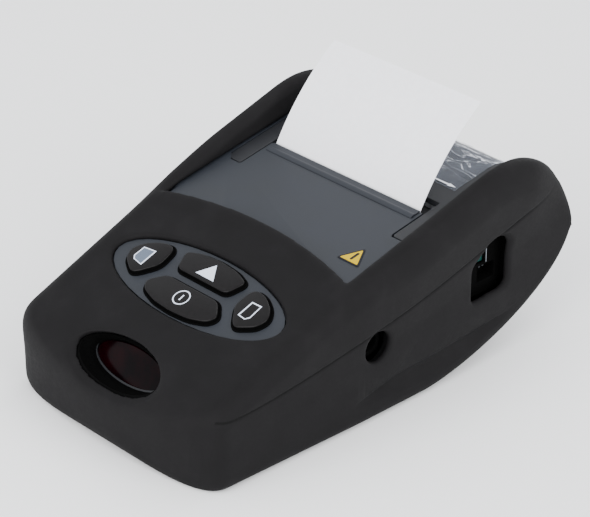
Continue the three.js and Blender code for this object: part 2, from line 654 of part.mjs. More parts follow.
function paperLine() {
  // The web leaves the front of the roll on its tangent, passes the print line and leans back.
  const reach = Math.hypot(GUIDE.y - ROLL.y, GUIDE.z - ROLL.z);
  const clear = ROLL.radius + 0.35;
  const turn = Math.atan2(GUIDE.z - ROLL.z, GUIDE.y - ROLL.y) + Math.acos(clear / reach);
  const start = [ROLL.y + clear * Math.cos(turn), ROLL.z + clear * Math.sin(turn)];
  const lean = radians(STRIP.lean);
  const exit = [TEAR_Y + 0.25, ROOF_Z];
  const end = [exit[0] + STRIP.length * Math.cos(lean), exit[1] + STRIP.length * Math.sin(lean)];
  return [start, [GUIDE.y, GUIDE.z], [NIP.y, NIP.z], [NIP.y, ROOF_Z - 1.2], exit, end];
}

function addPaper() {
  const { y, z, radius, coreOuter, coreInner } = ROLL;
  const tube = (outer, inner, half) => rodX(outer, y, z, -half, half, 32)
    .subtract(rodX(inner, y, z, -WALL_SPAN, WALL_SPAN, 32));
  addMesh('paper_roll', tube(radius, coreOuter + 0.2, PAPER_HALF), WHITE_PAPER);
  addMesh('roll_core', tube(coreOuter, coreInner, PAPER_HALF), CARDBOARD);
  addMesh('paper_strip', ribbon(paperLine(), STRIP.thickness, -PAPER_HALF, PAPER_HALF), WHITE_PAPER);
}

// ---------------------------------------------------------------- lid
const LID_FRONT = 27.5;

function lidBracket(side) {
  const web = shapeOf([[20, 45.5], [20.5, 47], [34, 49.6], [33, 45], [30, 40], [27.5, 38.7], [24.9, 38.7],
    [22.3, 40.6]]);
  const [x0, x1] = side > 0 ? [32, 33.6] : [-33.6, -32];
  return alongX(web, x0, x1).subtract(rodX(2.75, PLATEN.y, PLATEN.z, x0 - 1, x1 + 1));
}

function lidKnuckle(side) {
  const [x0, x1] = side > 0 ? [18.6, 33] : [-33, -18.6];
  return rodX(HINGE.knuckle, HINGE.y, HINGE.z, x0, x1);
}

function addLid() {
  const outer = roofCurve(0, 0);
  const inner = roofCurve(0, CASE_WALL).reverse();
  const panel = alongX(shapeOf([...outer, ...inner]), -LID_HALF, LID_HALF)
    .intersect(raised(lidPlan(0, LID_FRONT), 0, 90));
  const lid = panel.add(bothSides(lidBracket)).add(bothSides(lidKnuckle))
    .subtract(rodX(HINGE.knuckle + 0.4, HINGE.y, HINGE.z, -18.3, 18.3))
    .subtract(rodX(HINGE.pin + 0.1, HINGE.y, HINGE.z, -WALL_SPAN, WALL_SPAN));
  addMesh('paper_lid', lid, LID_GREY);
  addMesh('lid_hinge_pin', rodX(HINGE.pin, HINGE.y, HINGE.z, -33.4, 33.4, 16), STEEL);
}

function addLidFilm() {
  const front = 34;
  const drop = 5;
  const outside = roofCurve(front, -0.4).slice(0, -drop);
  const inside = roofCurve(front, -0.15).slice(0, -drop).reverse();
  addMesh('lid_film', alongX(shapeOf([...outside, ...inside]), -30, 30), FILM);
}

function addCautionLabel() {
  const plan = raised(shapeOf([[25, -6.2], [33, -6.2], [29, 0.6]]), 30, 60);
  const skin = alongX(shapeOf([[-12, roofPlane(-12) + 0.1], [8, roofPlane(8) + 0.1], [8, roofPlane(8) + 0.3],
    [-12, roofPlane(-12) + 0.3]]), 20, 36);
  addMesh('caution_label', plan.intersect(skin), YELLOW);
}

addBoot();
addUpperCase();
addLowerCase();
addBatteryCover();
addCaseScrews();
addKeys();
addKeypadBoard();
addWindow();
addMainBoard();
addJack();
addPort();
addBatteries();
addContacts();
addFrame();
addMotor();
addPrintHead();
addTearBar();
addGears();
addPlaten();
addLid();
addLidFilm();
addPaper();
addCautionLabel();

export default printer;
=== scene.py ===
"""Looks of a portable label printer in a rubber boot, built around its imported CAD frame."""

import json
import math

import bpy
import numpy as np
from mathutils import Matrix, Vector, noise


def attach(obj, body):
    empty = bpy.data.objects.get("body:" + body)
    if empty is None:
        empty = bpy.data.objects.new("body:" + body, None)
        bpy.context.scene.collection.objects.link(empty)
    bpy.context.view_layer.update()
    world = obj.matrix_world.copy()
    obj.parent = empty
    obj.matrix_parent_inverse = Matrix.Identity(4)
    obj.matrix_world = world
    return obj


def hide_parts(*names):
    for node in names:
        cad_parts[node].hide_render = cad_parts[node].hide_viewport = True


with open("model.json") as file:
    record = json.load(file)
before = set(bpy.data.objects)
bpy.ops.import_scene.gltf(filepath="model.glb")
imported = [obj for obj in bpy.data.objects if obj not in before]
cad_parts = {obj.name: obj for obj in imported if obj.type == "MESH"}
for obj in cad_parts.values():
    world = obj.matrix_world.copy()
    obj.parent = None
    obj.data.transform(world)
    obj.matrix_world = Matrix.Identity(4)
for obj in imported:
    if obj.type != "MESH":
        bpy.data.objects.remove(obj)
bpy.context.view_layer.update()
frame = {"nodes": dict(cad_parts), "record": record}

NODES = frame["nodes"]
MM = 0.001

# ---------------- sizes of the form, in millimetres
HALF_LENGTH = 70.0
SIDE_WALL = 42.4                  # half width at the flat side wall
RAIL_SWELL = 2.4                  # how far a rail stands out past the side wall
RUBBER = 2.0                      # thickness of the boot
BOOT_TRIANGLES = 190000           # the most that the boot's mesh may keep
NOSE = (-58.0, 11.0, 12.0)        # y, z and reach of the rounded front
TAIL = (42.8, 32.6, 27.2)         # y, z and radius of the rounded rear
TAIL_START = 34.7                 # y where the rear arc takes over from the straight rails
RAIL_Z, RAIL_SLOPE = 47.87, 0.31  # height of the rails' crest at y = 0, and its slope
NOSE_HALF = 41.2                  # half width just behind the rounded front
CHIN_Y, CHIN_REACH, CHIN_Z = -64.0, 6.0, 9.0      # the underside curves up in front of the chin
REAR_LIFT = 12.0                  # y behind which the underside curves up to the rear
ROOF_Y, ROOF_Z, ROOF_SLOPE = 21.5, 48.3, 0.184
DECK_PLACE = (ROOF_Y, ROOF_Z, math.degrees(math.atan(ROOF_SLOPE)))
ROOF_BEND_Y, ROOF_BEND_RADIUS, ROOF_BEND_END, ROOF_DROP = 47.0, 12.5, 75.0, 18.0
LID_HALF, LEG_FACE = 36.1, 36.4   # lid's edge, and the boot's inner face beside it
KEYPAD_Y, KEYPAD_Z, KEYPAD_SLOPE = -34.6, 35.13, 0.384
KEYPAD_LONG, KEYPAD_SHORT = 33.0, 12.0
KEYPAD_TILT = math.degrees(math.atan(KEYPAD_SLOPE))
KEYPAD_PLACE = (KEYPAD_Y, KEYPAD_Z, KEYPAD_TILT)
WINDOW_PLACE = (-63.1, 23.1, 56.0)   # y, z and tilt in degrees
WINDOW_WIDE, WINDOW_TALL = 16.3, 7.2
JACK_Y, JACK_Z, JACK_RADIUS = -7.3, 22.8, 4.5
HINGE_Y, HINGE_Z = 63.6, 24.4
LID_FOOT = 19.7                   # lowest point of the room for the lid's hinge
HOOD_BACK, HOOD_ARC, DECK_HALF = -9.3, 2.9, 28.8   # hood's rear edge: y at the middle, rise, half width
SEAM_START, SEAM_HEIGHT, SEAM_RISE, SEAM_POWER = -57.0, 21.6, 0.0145, 1.57
PAPER_HALF, FILM_HALF = 28.75, 30.0
ROLL_Y, ROLL_Z, ROLL_RADIUS = 43.0, 31.0, 16.0
PLATEN_Y, PLATEN_Z = 26.0, 42.6


# ---------------- small tools
def deselect():
    if bpy.context.object and bpy.context.object.mode != "OBJECT":
        bpy.ops.object.mode_set(mode="OBJECT")
    bpy.ops.object.select_all(action="DESELECT")


def activate(piece):
    deselect()
    piece.select_set(True)
    bpy.context.view_layer.objects.active = piece


def settle(piece):
    """Move the piece's place into its mesh, so that its object sits at the origin."""
    activate(piece)
    bpy.ops.object.transform_apply(location=True, rotation=True, scale=True)
    return piece


def modify(piece, kind, **settings):
    """Add one modifier, set it and apply it."""
    activate(piece)
    modifier = piece.modifiers.new(kind.title(), kind)
    for name, value in settings.items():
        setattr(modifier, name, value)
    bpy.ops.object.modifier_apply(modifier=modifier.name)
    return piece


def new_mesh(name, points, faces):
    """Mesh object from points in millimetres."""
    mesh = bpy.data.meshes.new(name)
    mesh.from_pydata([(x * MM, y * MM, z * MM) for x, y, z in points], [], faces)
    mesh.update()
    piece = bpy.data.objects.new(name, mesh)
    bpy.context.scene.collection.objects.link(piece)
    return piece


def skin(name, rings):
    """Closed skin through rings of equal length, with a flat cap at each end."""
    count = len(rings[0])
    points = [point for ring in rings for point in ring]
    faces = []
    for row in range(len(rings) - 1):
        for i in range(count):
            j = (i + 1) % count
            near, far = row * count, (row + 1) * count
            faces.append((near + i, near + j, far + j, far + i))
    faces.append(tuple(reversed(range(count))))
    faces.append(tuple(range(len(points) - count, len(points))))
    return point_outwards(new_mesh(name, points, faces))


def on_all(piece, *steps):
    """Run edit-mode operators on the whole mesh; a step is an operator with its settings."""
    activate(piece)
    bpy.ops.object.mode_set(mode="EDIT")
    bpy.ops.mesh.select_all(action="SELECT")
    for operator, settings in steps:
        operator(**settings)
    bpy.ops.object.mode_set(mode="OBJECT")
    return piece


def point_outwards(piece):
    return on_all(piece, (bpy.ops.mesh.normals_make_consistent, {"inside": False}))


def cut(piece, tool, operation="DIFFERENCE"):
    modify(piece, "BOOLEAN", object=tool, operation=operation, solver="EXACT")
    bpy.data.objects.remove(tool)
    return piece


def smooth(piece, degrees=35):
    activate(piece)
    bpy.ops.object.shade_smooth_by_angle(angle=math.radians(degrees))
    return piece


def copied(node, name):
    """The CAD node's mesh as a new object of its own, with its corners joined."""
    piece = bpy.data.objects.new(name, NODES[node].data.copy())
    bpy.context.scene.collection.objects.link(piece)
    piece.data.materials.clear()
    return on_all(piece, (bpy.ops.mesh.remove_doubles, {"threshold": 0.002 * MM}),
                  (bpy.ops.mesh.dissolve_limited, {"angle_limit": math.radians(1.0)}))


def plate(name, outline, low, high):
    """Flat plate: a filled circle brought to the outline and extruded upwards."""
    deselect()
    bpy.ops.mesh.primitive_circle_add(vertices=len(outline), radius=0.01, fill_type="NGON")
    piece = bpy.context.object
    piece.name = piece.data.name = name
    for vertex, (x, y) in zip(piece.data.vertices, outline):
        vertex.co = (x * MM, y * MM, low * MM)
    rise = {"value": (0, 0, (high - low) * MM)}
    on_all(piece, (bpy.ops.mesh.extrude_region_move, {"TRANSFORM_OT_translate": rise}))
    return point_outwards(piece)


def along_x(name, outline, x0, x1):
    """Plate drawn in Y and Z and extruded along X."""
    piece = plate(name, outline, x0, x1)
    piece.matrix_world = Matrix(((0, 0, 1, 0), (1, 0, 0, 0), (0, 1, 0, 0), (0, 0, 0, 1)))
    return settle(piece)


def round_edges(piece, height, width, segments):
    """Bevel the edges that lie at one height."""
    activate(piece)
    bpy.ops.object.mode_set(mode="EDIT")
    bpy.ops.mesh.select_mode(type="EDGE")
    bpy.ops.mesh.select_all(action="DESELECT")
    bpy.ops.object.mode_set(mode="OBJECT")
    points = piece.data.vertices
    for edge in piece.data.edges:
        edge.select = all(abs(points[i].co.z / MM - height) < 0.01 for i in edge.vertices)
    bpy.ops.object.mode_set(mode="EDIT")
    bpy.ops.mesh.bevel(offset=width * MM, segments=segments, affect="EDGES", profile=0.5)
    bpy.ops.object.mode_set(mode="OBJECT")
    return piece


def lay(piece, y, z, degrees):
    """Turn a finished flat piece about X and carry it to its tilted place."""
    piece.location = (0, y * MM, z * MM)
    piece.rotation_euler = (math.radians(degrees), 0, 0)
    return settle(piece)


def thin_sheet(name, columns, rows, shape, thickness, offset, degrees):
    """Sheet from a flat grid; the shape turns places across and along, from -1 to 1, into millimetres."""
    deselect()
    bpy.ops.mesh.primitive_grid_add(x_subdivisions=columns, y_subdivisions=rows, size=2)
    piece = bpy.context.object
    piece.name = piece.data.name = name
    for vertex in piece.data.vertices:
        vertex.co = [value * MM for value in shape(vertex.co.x, vertex.co.y)]
    modify(piece, "SOLIDIFY", thickness=thickness * MM, offset=offset)
    return smooth(piece, degrees)


def rod_x(name, radius, y, z, x0, x1, sides=64):
    deselect()
    bpy.ops.mesh.primitive_cylinder_add(
        vertices=sides, radius=radius * MM, depth=(x1 - x0) * MM,
        location=((x0 + x1) / 2 * MM, y * MM, z * MM), rotation=(0, math.pi / 2, 0))
    piece = bpy.context.object
    piece.name = piece.data.name = name
    return settle(piece)


def broken_rims(piece, width, segments=3):
    """Break the edges of a turned or moulded piece."""
    modify(piece, "BEVEL", width=width * MM, segments=segments, angle_limit=math.radians(40),
           use_clamp_overlap=True)
    smooth(piece, 30)
    return modify(piece, "WEIGHTED_NORMAL", keep_sharp=True)


def edge_broken(node, name, width):
    """Copy of a moulded CAD piece with its sharp edges broken."""
    piece = copied(node, name)
    modify(piece, "BEVEL", width=width * MM, segments=2, angle_limit=math.radians(40), use_clamp_overlap=True)
    return smooth(piece, 30)


def finish_piece(piece, body, slot, *nodes, look=None):
    """Give a finished piece its body, slot, the CAD nodes it stands for and its own or its slot's look."""
    piece.data.materials.clear()
    piece.data.materials.append(LOOKS[look or slot])
    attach(piece, body)
    if nodes:
        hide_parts(*nodes)
    return piece


# ---------------- materials
NOISE, RAMP, RANGE, BUMP = "ShaderNodeTexNoise", "ShaderNodeValToRGB", "ShaderNodeMapRange", "ShaderNodeBump"
MATH, VECTOR_MATH, MIX = "ShaderNodeMath", "ShaderNodeVectorMath", "ShaderNodeMix"
AXES, MAPPING = "ShaderNodeSeparateXYZ", "ShaderNodeMapping"
MIXED_COLOUR = 2                  # the mix node's output when it mixes colours
SOFT = 0.55                       # how strongly the finer octaves of a noise show
MIDDLE = {"From Min": 0.25, "From Max": 0.75}     # the values that a noise mostly takes


def srgb(code):
    """Linear colour of an sRGB hex code."""
    channels = [int(code[i:i + 2], 16) / 255 for i in (1, 3, 5)]
    return (*[c / 12.92 if c <= 0.04045 else ((c + 0.055) / 1.055) ** 2.4 for c in channels], 1.0)


def dimmed(colour, share):
    return (*[channel * share for channel in colour[:3]], 1.0)


def fill_in(tree, node, inputs):
    """Give a node its inputs: plain values, or links from other nodes' outputs."""
    for name, value in inputs.items():
        if isinstance(value, bpy.types.NodeSocket):
            tree.links.new(value, node.inputs[name])
        else:
            node.inputs[name].default_value = value


def add_node(tree, kind, inputs, output=0, stops=(), **settings):
    """Add one node with its settings and links, and give back one of its outputs."""
    made = tree.nodes.new(kind)
    for name, value in settings.items():
        setattr(made, name, value)
    fill_in(tree, made, inputs)
    for position, colour in stops[1:-1]:
        made.color_ramp.elements.new(position)
    for i, (position, colour) in enumerate(stops):
        made.color_ramp.elements[i].position = position
        made.color_ramp.elements[i].color = colour
    return made.outputs[output]


def new_material(name):
    """Material with its node tree, its shader and the place on the object."""
    material = bpy.data.materials.new(name)
    material.use_nodes = True
    tree = material.node_tree
    return material, tree, tree.nodes["Principled BSDF"], add_node(tree, "ShaderNodeTexCoord", {}, "Object")


def grained(name, patches, stops, gloss, skin=None, depth=0.0, **levels):
    """Surface whose colour and roughness follow one noise while another raises its skin.

    A noise is given as grains to the millimetre, detail and how strongly the finer octaves show.
    """
    material, tree, shader, place = new_material(name)
    grains, detail, octaves = patches
    cloud = add_node(tree, NOISE, {
        "Vector": place, "Scale": grains / MM, "Detail": detail, "Roughness": octaves})
    fill_in(tree, shader, {"Base Color": add_node(tree, RAMP, {"Fac": cloud}, stops=stops)})
    low, high = gloss[0], gloss[-1]
    fill_in(tree, shader, {"Roughness": low if low == high else add_node(tree, RANGE, {
        "Value": cloud, **MIDDLE, "To Min": low, "To Max": high})})
    if skin:
        grains, detail, octaves = skin
        grain = add_node(tree, NOISE, {
            "Vector": place, "Scale": grains / MM, "Detail": detail, "Roughness": octaves})
        fill_in(tree, shader, {"Normal": add_node(tree, BUMP, {"Height": grain, "Distance": depth * MM})})
    fill_in(tree, shader, {level.replace("_", " "): value for level, value in levels.items()})
    return material


def moulded_plastic(name, dark, light, roughness, grain_per_mm=3.0, depth=0.02):
    """Injection-moulded from a spark-eroded tool: even colour, fine pebbled grain, soft highlights."""
    return grained(name, (0.12, 3.0, SOFT), [(0.3, srgb(dark)), (0.7, srgb(light))],
                   (roughness - 0.05, roughness + 0.05), (grain_per_mm, 2.0, SOFT), depth,
                   IOR=1.5, Specular_IOR_Level=0.25)


def matt_black():
    """Coarsely spark-eroded near-black surface with hardly any reflection: painted shade on the key sides, the
    key-gap rings and the recessed window funnel, jack and port.
    """
    return grained("near_black_painted_shade", (2.0, 3.0, SOFT), [(0.3, srgb("#030303")), (0.7, srgb("#070707"))],
                   (0.85,), (2.0, 3.0, SOFT), 0.04, Specular_IOR_Level=0.03)


def satin_key():
    """Moulded key cap in black polycarbonate: smoother than the case, with a soft sheen and fine wear."""
    return grained("satin_polycarbonate_key", (0.8, 5.0, SOFT),
                   [(0.35, srgb("#0c0b0b")), (0.7, srgb("#100e0f"))],
                   (0.3, 0.42), (5.0, 2.0, SOFT), 0.008, Specular_IOR_Level=0.13)


def printed_ink(name, code):
    """Pad-printed ink: thin, slightly uneven coat."""
    return grained(name, (3.0, 4.0, SOFT), [(0.3, dimmed(srgb(code), 0.86)), (0.6, srgb(code))],
                   (0.45,), Specular_IOR_Level=0.1)


def thermal_paper():
    """Coated thermal paper: smooth white with a faint fibre cloud."""
    return grained("coated_thermal_paper", (0.6, 6.0, 0.65), [(0.3, srgb("#f1f1f5")), (0.7, srgb("#f7f7fa"))],
                   (0.6,), (8.0, 3.0, SOFT), 0.006)


def red_lens():
    """Infrared-passing acrylic: black-red and polished."""
    return grained("infrared_acrylic", (0.15, 3.0, SOFT), [(0.35, srgb("#030001")), (0.75, srgb("#120103"))],
                   (0.16,), (0.3, 3.0, SOFT), 0.01, Specular_IOR_Level=0.07)


def seam_groove_shade(tree, place):
    """Mask of the painted shade in the seam's groove: 1 along the mould's parting line on the side walls, 0
    elsewhere; it fades out at the rear.
    """
    x, y, z = (add_node(tree, AXES, {"Vector": place}, axis) for axis in "XYZ")
    run = add_node(tree, MATH, {0: y, 1: -SEAM_START * MM}, operation="ADD")
    run = add_node(tree, MATH, {0: run, 1: MM}, operation="DIVIDE")
    run = add_node(tree, MATH, {0: run, 1: 0.0}, operation="MAXIMUM")
    rise = add_node(tree, MATH, {0: run, 1: SEAM_POWER}, operation="POWER")
    height = add_node(tree, MATH, {0: rise, 1: SEAM_RISE * MM, 2: SEAM_HEIGHT * MM}, operation="MULTIPLY_ADD")
    off = add_node(tree, MATH, {0: z, 1: height}, operation="SUBTRACT")
    off = add_node(tree, MATH, {0: off}, operation="ABSOLUTE")
    line = add_node(tree, RANGE, {
        "Value": off, "From Min": 0.2 * MM, "From Max": 0.42 * MM, "To Min": 0.95, "To Max": 0.0})
    fade = add_node(tree, RANGE, {
        "Value": run, "From Min": 100, "From Max": 118, "To Min": 1.0, "To Max": 0.0})
    side = add_node(tree, MATH, {0: x}, operation="ABSOLUTE")
    side = add_node(tree, MATH, {0: side, 1: 39 * MM}, operation="GREATER_THAN")
    shown = add_node(tree, MATH, {0: line, 1: fade}, operation="MULTIPLY")
    return add_node(tree, MATH, {0: shown, 1: side}, operation="MULTIPLY")


def boot_rubber():
    """Moulded silicone rubber: near-black, matte, with dusty mottling, a fine skin grain and a darker line of
    painted shade along the seam's groove.
    """
    material, tree, shader, place = new_material("moulded_silicone_rubber")
    cloud = add_node(tree, NOISE, {"Vector": place, "Scale": 0.09 / MM, "Detail": 6.0, "Roughness": 0.6})
    dust = add_node(tree, NOISE, {"Vector": place, "Scale": 1.1 / MM, "Detail": 4.0, "Roughness": 0.6})
    grain = add_node(tree, NOISE, {"Vector": place, "Scale": 4.0 / MM, "Detail": 2.0, "Roughness": SOFT})
    base = add_node(tree, RAMP, {"Fac": cloud}, stops=[
        (0.3, srgb("#0c0b0c")), (0.55, srgb("#0f0e0f")), (0.75, srgb("#141314"))])
    settled = add_node(tree, RANGE, {
        "Value": dust, **MIDDLE, "To Min": 0.0, "To Max": 0.25})
    dusty = add_node(tree, MIX, {0: settled, 6: base, 7: srgb("#1e1d1e")}, MIXED_COLOUR, data_type="RGBA")
    # Near-black line along the seam: painted shade in its groove.
    seam_shaded = add_node(tree, MIX, {0: seam_groove_shade(tree, place), 6: dusty, 7: srgb("#060606")}, MIXED_COLOUR,
                     data_type="RGBA")
    matte = add_node(tree, RANGE, {
        "Value": dust, **MIDDLE, "To Min": 0.62, "To Max": 0.78})
    fill_in(tree, shader, {
        "Base Color": seam_shaded, "Roughness": matte, "IOR": 1.43, "Specular IOR Level": 0.13,
        "Normal": add_node(tree, BUMP, {"Height": grain, "Distance": 0.03 * MM})})
    return material


def rolled_steel(name, code, roughness):
    """Cold-rolled steel: fine lines along the rolling direction."""
    material, tree, shader, place = new_material(name)
    drawn_out = add_node(tree, MAPPING, {"Vector": place, "Scale": (0.03 / MM, 6.0 / MM, 6.0 / MM)})
    brushed = add_node(tree, NOISE, {"Vector": drawn_out, "Scale": 1.0, "Detail": 3.0})
    cloud = add_node(tree, NOISE, {"Vector": place, "Scale": 0.2 / MM, "Detail": 3.0, "Roughness": SOFT})
    satin = add_node(tree, RANGE, {
        "Value": brushed, **MIDDLE, "To Min": roughness - 0.07, "To Max": roughness + 0.1})
    tone = srgb(code)
    fill_in(tree, shader, {
        "Base Color": add_node(tree, RAMP, {"Fac": cloud}, stops=[(0.3, dimmed(tone, 0.8)), (0.7, tone)]),
        "Roughness": satin, "Metallic": 1.0,
        "Normal": add_node(tree, BUMP, {"Height": brushed, "Distance": 0.004 * MM})})
    return material


def wound_paper():
    """Wound thermal paper: its layers show as rings on the ends of the roll, coarser than they are."""
    material, tree, shader, place = new_material("wound_thermal_paper")
    layer = 0.15 * MM
    off_axis = add_node(tree, VECTOR_MATH, {0: place, 1: (0, ROLL_Y * MM, ROLL_Z * MM)}, operation="SUBTRACT")
    flat = add_node(tree, VECTOR_MATH, {0: off_axis, 1: (0, 1, 1)}, operation="MULTIPLY")
    radius = add_node(tree, VECTOR_MATH, {0: flat}, "Value", operation="LENGTH")
    layers = add_node(tree, MATH, {0: radius, 1: layer}, operation="PINGPONG")
    shade = add_node(tree, RANGE, {
        "Value": layers, "From Min": 0.0, "From Max": layer, "To Min": 0.0, "To Max": 1.0})
    tone = add_node(tree, RAMP, {"Fac": shade}, stops=[(0.0, srgb("#dcdce2")), (0.5, srgb("#f4f4f8"))])
    fill_in(tree, shader, {
        "Base Color": tone,
        "Normal": add_node(tree, BUMP, {"Height": shade, "Distance": 0.03 * MM}), "Roughness": 0.7})
    return material


def clear_film():
    """Protective polyethylene film: clear and glossy, with a faint tinted veil that is partly haze and partly
    painted sheen, and painted white glints along the creases at the rear.
    """
    material, tree, shader, place = new_material("clear_polyethylene_film")
    stretched = add_node(tree, MAPPING, {"Vector": place, "Scale": (0.05 / MM, 0.22 / MM, 0.22 / MM)})
    folds = add_node(tree, NOISE, {"Vector": stretched, "Scale": 1.6, "Detail": 2.0, "Distortion": 1.2})
    off_line = add_node(tree, MATH, {0: folds, 1: 0.5}, operation="SUBTRACT")
    off_line = add_node(tree, MATH, {0: off_line}, operation="ABSOLUTE")
    rear = add_node(tree, AXES, {"Vector": place}, "Y")
    width = add_node(tree, RANGE, {
        "Value": rear, "From Min": 38 * MM, "From Max": 44 * MM, "To Min": 0.0001, "To Max": 0.014})
    # Near-white lines along the noise creases towards the rear: painted glints.
    crease_glint = add_node(tree, RANGE, {
        "Value": off_line, "From Min": 0.0, "From Max": width, "To Min": 1.0, "To Max": 0.0})
    haze = add_node(tree, NOISE, {"Vector": place, "Scale": 0.12 / MM, "Detail": 3.0, "Roughness": SOFT})
    tint = add_node(tree, RAMP, {"Fac": haze}, stops=[(0.3, srgb("#8d96a8")), (0.7, srgb("#a9b1c2"))])
    # Faint blue-grey veil over the lid: haze and painted sheen.
    haze_and_sheen_veil = add_node(tree, RANGE, {
        "Value": haze, **MIDDLE, "To Min": 0.05, "To Max": 0.12})
    creased = {0: crease_glint, 6: tint, 7: srgb("#f4f6fa")}
    fill_in(tree, shader, {
        "Base Color": add_node(tree, MIX, creased, MIXED_COLOUR, data_type="RGBA"),
        "Alpha": add_node(tree, MATH, {0: haze_and_sheen_veil, 1: crease_glint}, operation="MAXIMUM"),
        "Roughness": 0.1, "IOR": 1.5})
    return material


def folded_film():
    """Painted glare for the film's folded front edge: flat near-white, so that the strip shows white."""
    white = srgb("#f4f6fa")
    return grained("film_edge_painted_glare", (0.12, 3.0, SOFT), [(0.3, white), (0.7, white)], (0.35,), IOR=1.5)


def circuit_board():
    """Solder mask over copper: deep teal green with a faint track pattern."""
    material, tree, shader, place = new_material("teal_solder_mask")
    tracks = add_node(tree, "ShaderNodeTexBrick", {
        "Vector": place, "Scale": 0.25 / MM, "Mortar Size": 0.02,
        "Color1": srgb("#0d2f2b"), "Color2": srgb("#123a35"), "Mortar": srgb("#24605a")}, "Color")
    fill_in(tree, shader, {"Base Color": tracks, "Roughness": 0.3})
    return material


def wound_cardboard():
    """Spiral-wound kraft board: brown with a spiral seam every few millimetres."""
    material, tree, shader, place = new_material("wound_kraft_board")
    wave = add_node(tree, "ShaderNodeTexWave", {
        "Vector": place, "Scale": 0.04 / MM, "Distortion": 1.5, "Detail": 3.0}, "Fac")
    browns = add_node(tree, RAMP, {"Fac": wave}, stops=[(0.1, srgb("#8f6d42")), (0.5, srgb("#a98657"))])
    fill_in(tree, shader, {"Base Color": browns, "Roughness": 0.9})
    return material


def battery_sleeve():
    """Shrink-wrapped sleeve on a dry cell: glossy film with a darker band at one end."""
    material, tree, shader, place = new_material("shrink_sleeve")
    along = add_node(tree, AXES, {"Vector": place}, "Y")
    band = add_node(tree, MATH, {0: along, 1: -14 * MM}, operation="GREATER_THAN")
    ripple = add_node(tree, NOISE, {"Vector": place, "Scale": 0.5 / MM, "Detail": 3.0, "Roughness": SOFT})
    fill_in(tree, shader, {
        "Base Color": add_node(tree, MIX, {0: band, 6: srgb("#2f6f4a"), 7: srgb("#1c1d1f")}, MIXED_COLOUR,
                               data_type="RGBA"),
        "Roughness": add_node(tree, RANGE, {
            "Value": ripple, **MIDDLE, "To Min": 0.2, "To Max": 0.3})})
    return material


LOOKS = {                         # one for each material slot of the frame, and a few more
    "rubber": boot_rubber(),
    "slate_plastic": moulded_plastic("slate_abs", "#1f2227", "#23262c", 0.45),
    "lid_plastic": moulded_plastic("graphite_abs", "#191a1d", "#1d1e21", 0.45),
    "black_plastic": moulded_plastic("black_abs", "#080809", "#0b0b0c", 0.6),
    "matt_black": matt_black(),
    "nylon": moulded_plastic("natural_nylon", "#cfccbe", "#dcd9cc", 0.5),
    "platen_rubber": moulded_plastic("ground_nitrile_rubber", "#1b1b1d", "#232325", 0.7, 2.0, 0.03),
    "ceramic_head": moulded_plastic("glazed_alumina_head", "#2a2a2c", "#34342f", 0.2, 1.0, 0.003),
    "key_plastic": satin_key(),
    "ink": printed_ink("white_key_ink", "#d5dcea"),
    "ink_tint": printed_ink("grey_key_ink", "#5c6573"),
    "yellow_label": printed_ink("yellow_label_ink", "#bd9e00"),
    "black_ink": printed_ink("black_label_ink", "#1d1d20"),
    "steel": rolled_steel("cold_rolled_steel", "#8e9298", 0.35),
    "heat_sink_aluminium": rolled_steel("extruded_aluminium", "#b2b5b8", 0.4),
    "paper": thermal_paper(),
    "wound_paper": wound_paper(),
    "clear_film": clear_film(),
    "folded_film": folded_film(),
    "red_window": red_lens(),
    "circuit_board": circuit_board(),
    "cardboard": wound_cardboard(),
    "cell_wrap": battery_sleeve(),
}


def dress_cad_nodes():
    """Every CAD node gets the finish of its own slot; the ones shown again below are replaced later."""
    for part in frame["record"]["subparts"]:
        mesh = NODES[part["node"]].data
        mesh.materials.clear()
        mesh.materials.append(LOOKS[part["material_slot"]])


# ---------------- body form
def ease(value, low, high):
    t = min(1.0, max(0.0, (value - low) / (high - low)))
    return t * t * (3 - 2 * t)


def keypad_plane(y):
    return KEYPAD_Z + KEYPAD_SLOPE * (y - KEYPAD_Y)


def crest_at(y):
    """Top of the body: rounded nose, keypad slope, straight rails, round rear."""
    if y > TAIL_START:
        return TAIL[1] + math.sqrt(max(0.0, TAIL[2] ** 2 - (y - TAIL[0]) ** 2))
    straight = min(keypad_plane(y), RAIL_Z + RAIL_SLOPE * y)
    nose = min(1.0, max(0.0, (NOSE[0] - y) / NOSE[2]))
    return NOSE[1] + (straight - NOSE[1]) * (1 - nose ** 2.3) ** 0.435


def underside_at(y):
    if y < CHIN_Y:
        return CHIN_Z - CHIN_Z * (1 - min(1.0, (CHIN_Y - y) / CHIN_REACH) ** 3) ** 0.333
    if y < REAR_LIFT:
        return 0.0
    rise = min(1.0, (y - REAR_LIFT) / (HALF_LENGTH - REAR_LIFT))
    return TAIL[1] * (1 - (1 - rise ** 1.5) ** 0.53)


def half_width_at(y):
    front = min(1.0, max(0.0, (y + HALF_LENGTH) / NOSE[2]))
    rounded = (1 - (1 - front) ** 3.6) ** 0.68
    return rounded * (NOSE_HALF + (SIDE_WALL - NOSE_HALF) * min(1.0, max(0.0, (y - NOSE[0]) / 45)))


def seam_at(y):
    """Mould seam on the side wall, where the rail starts to swell."""
    return SEAM_HEIGHT + SEAM_RISE * np.maximum(0.0, y - SEAM_START) ** SEAM_POWER


def inset_station(y, inset):
    """Station of the body moved inwards, as in the frame: the ends shrink towards their centres."""
    if NOSE[0] <= y <= TAIL[0]:
        return y, underside_at(y) + inset, crest_at(y) - inset, half_width_at(y) - inset
    end = NOSE if y < NOSE[0] else TAIL
    top = (crest_at(y) - end[1]) / (crest_at(end[0]) - end[1])
    bottom = (end[1] - underside_at(y)) / (end[1] - underside_at(end[0]))
    side = half_width_at(y) / half_width_at(NOSE[0]) if y < NOSE[0] else 1.0
    return (end[0] + (y - end[0]) * (1 - inset / end[2]), underside_at(y) + inset * bottom,
            crest_at(y) - inset * top, half_width_at(y) - inset * side)


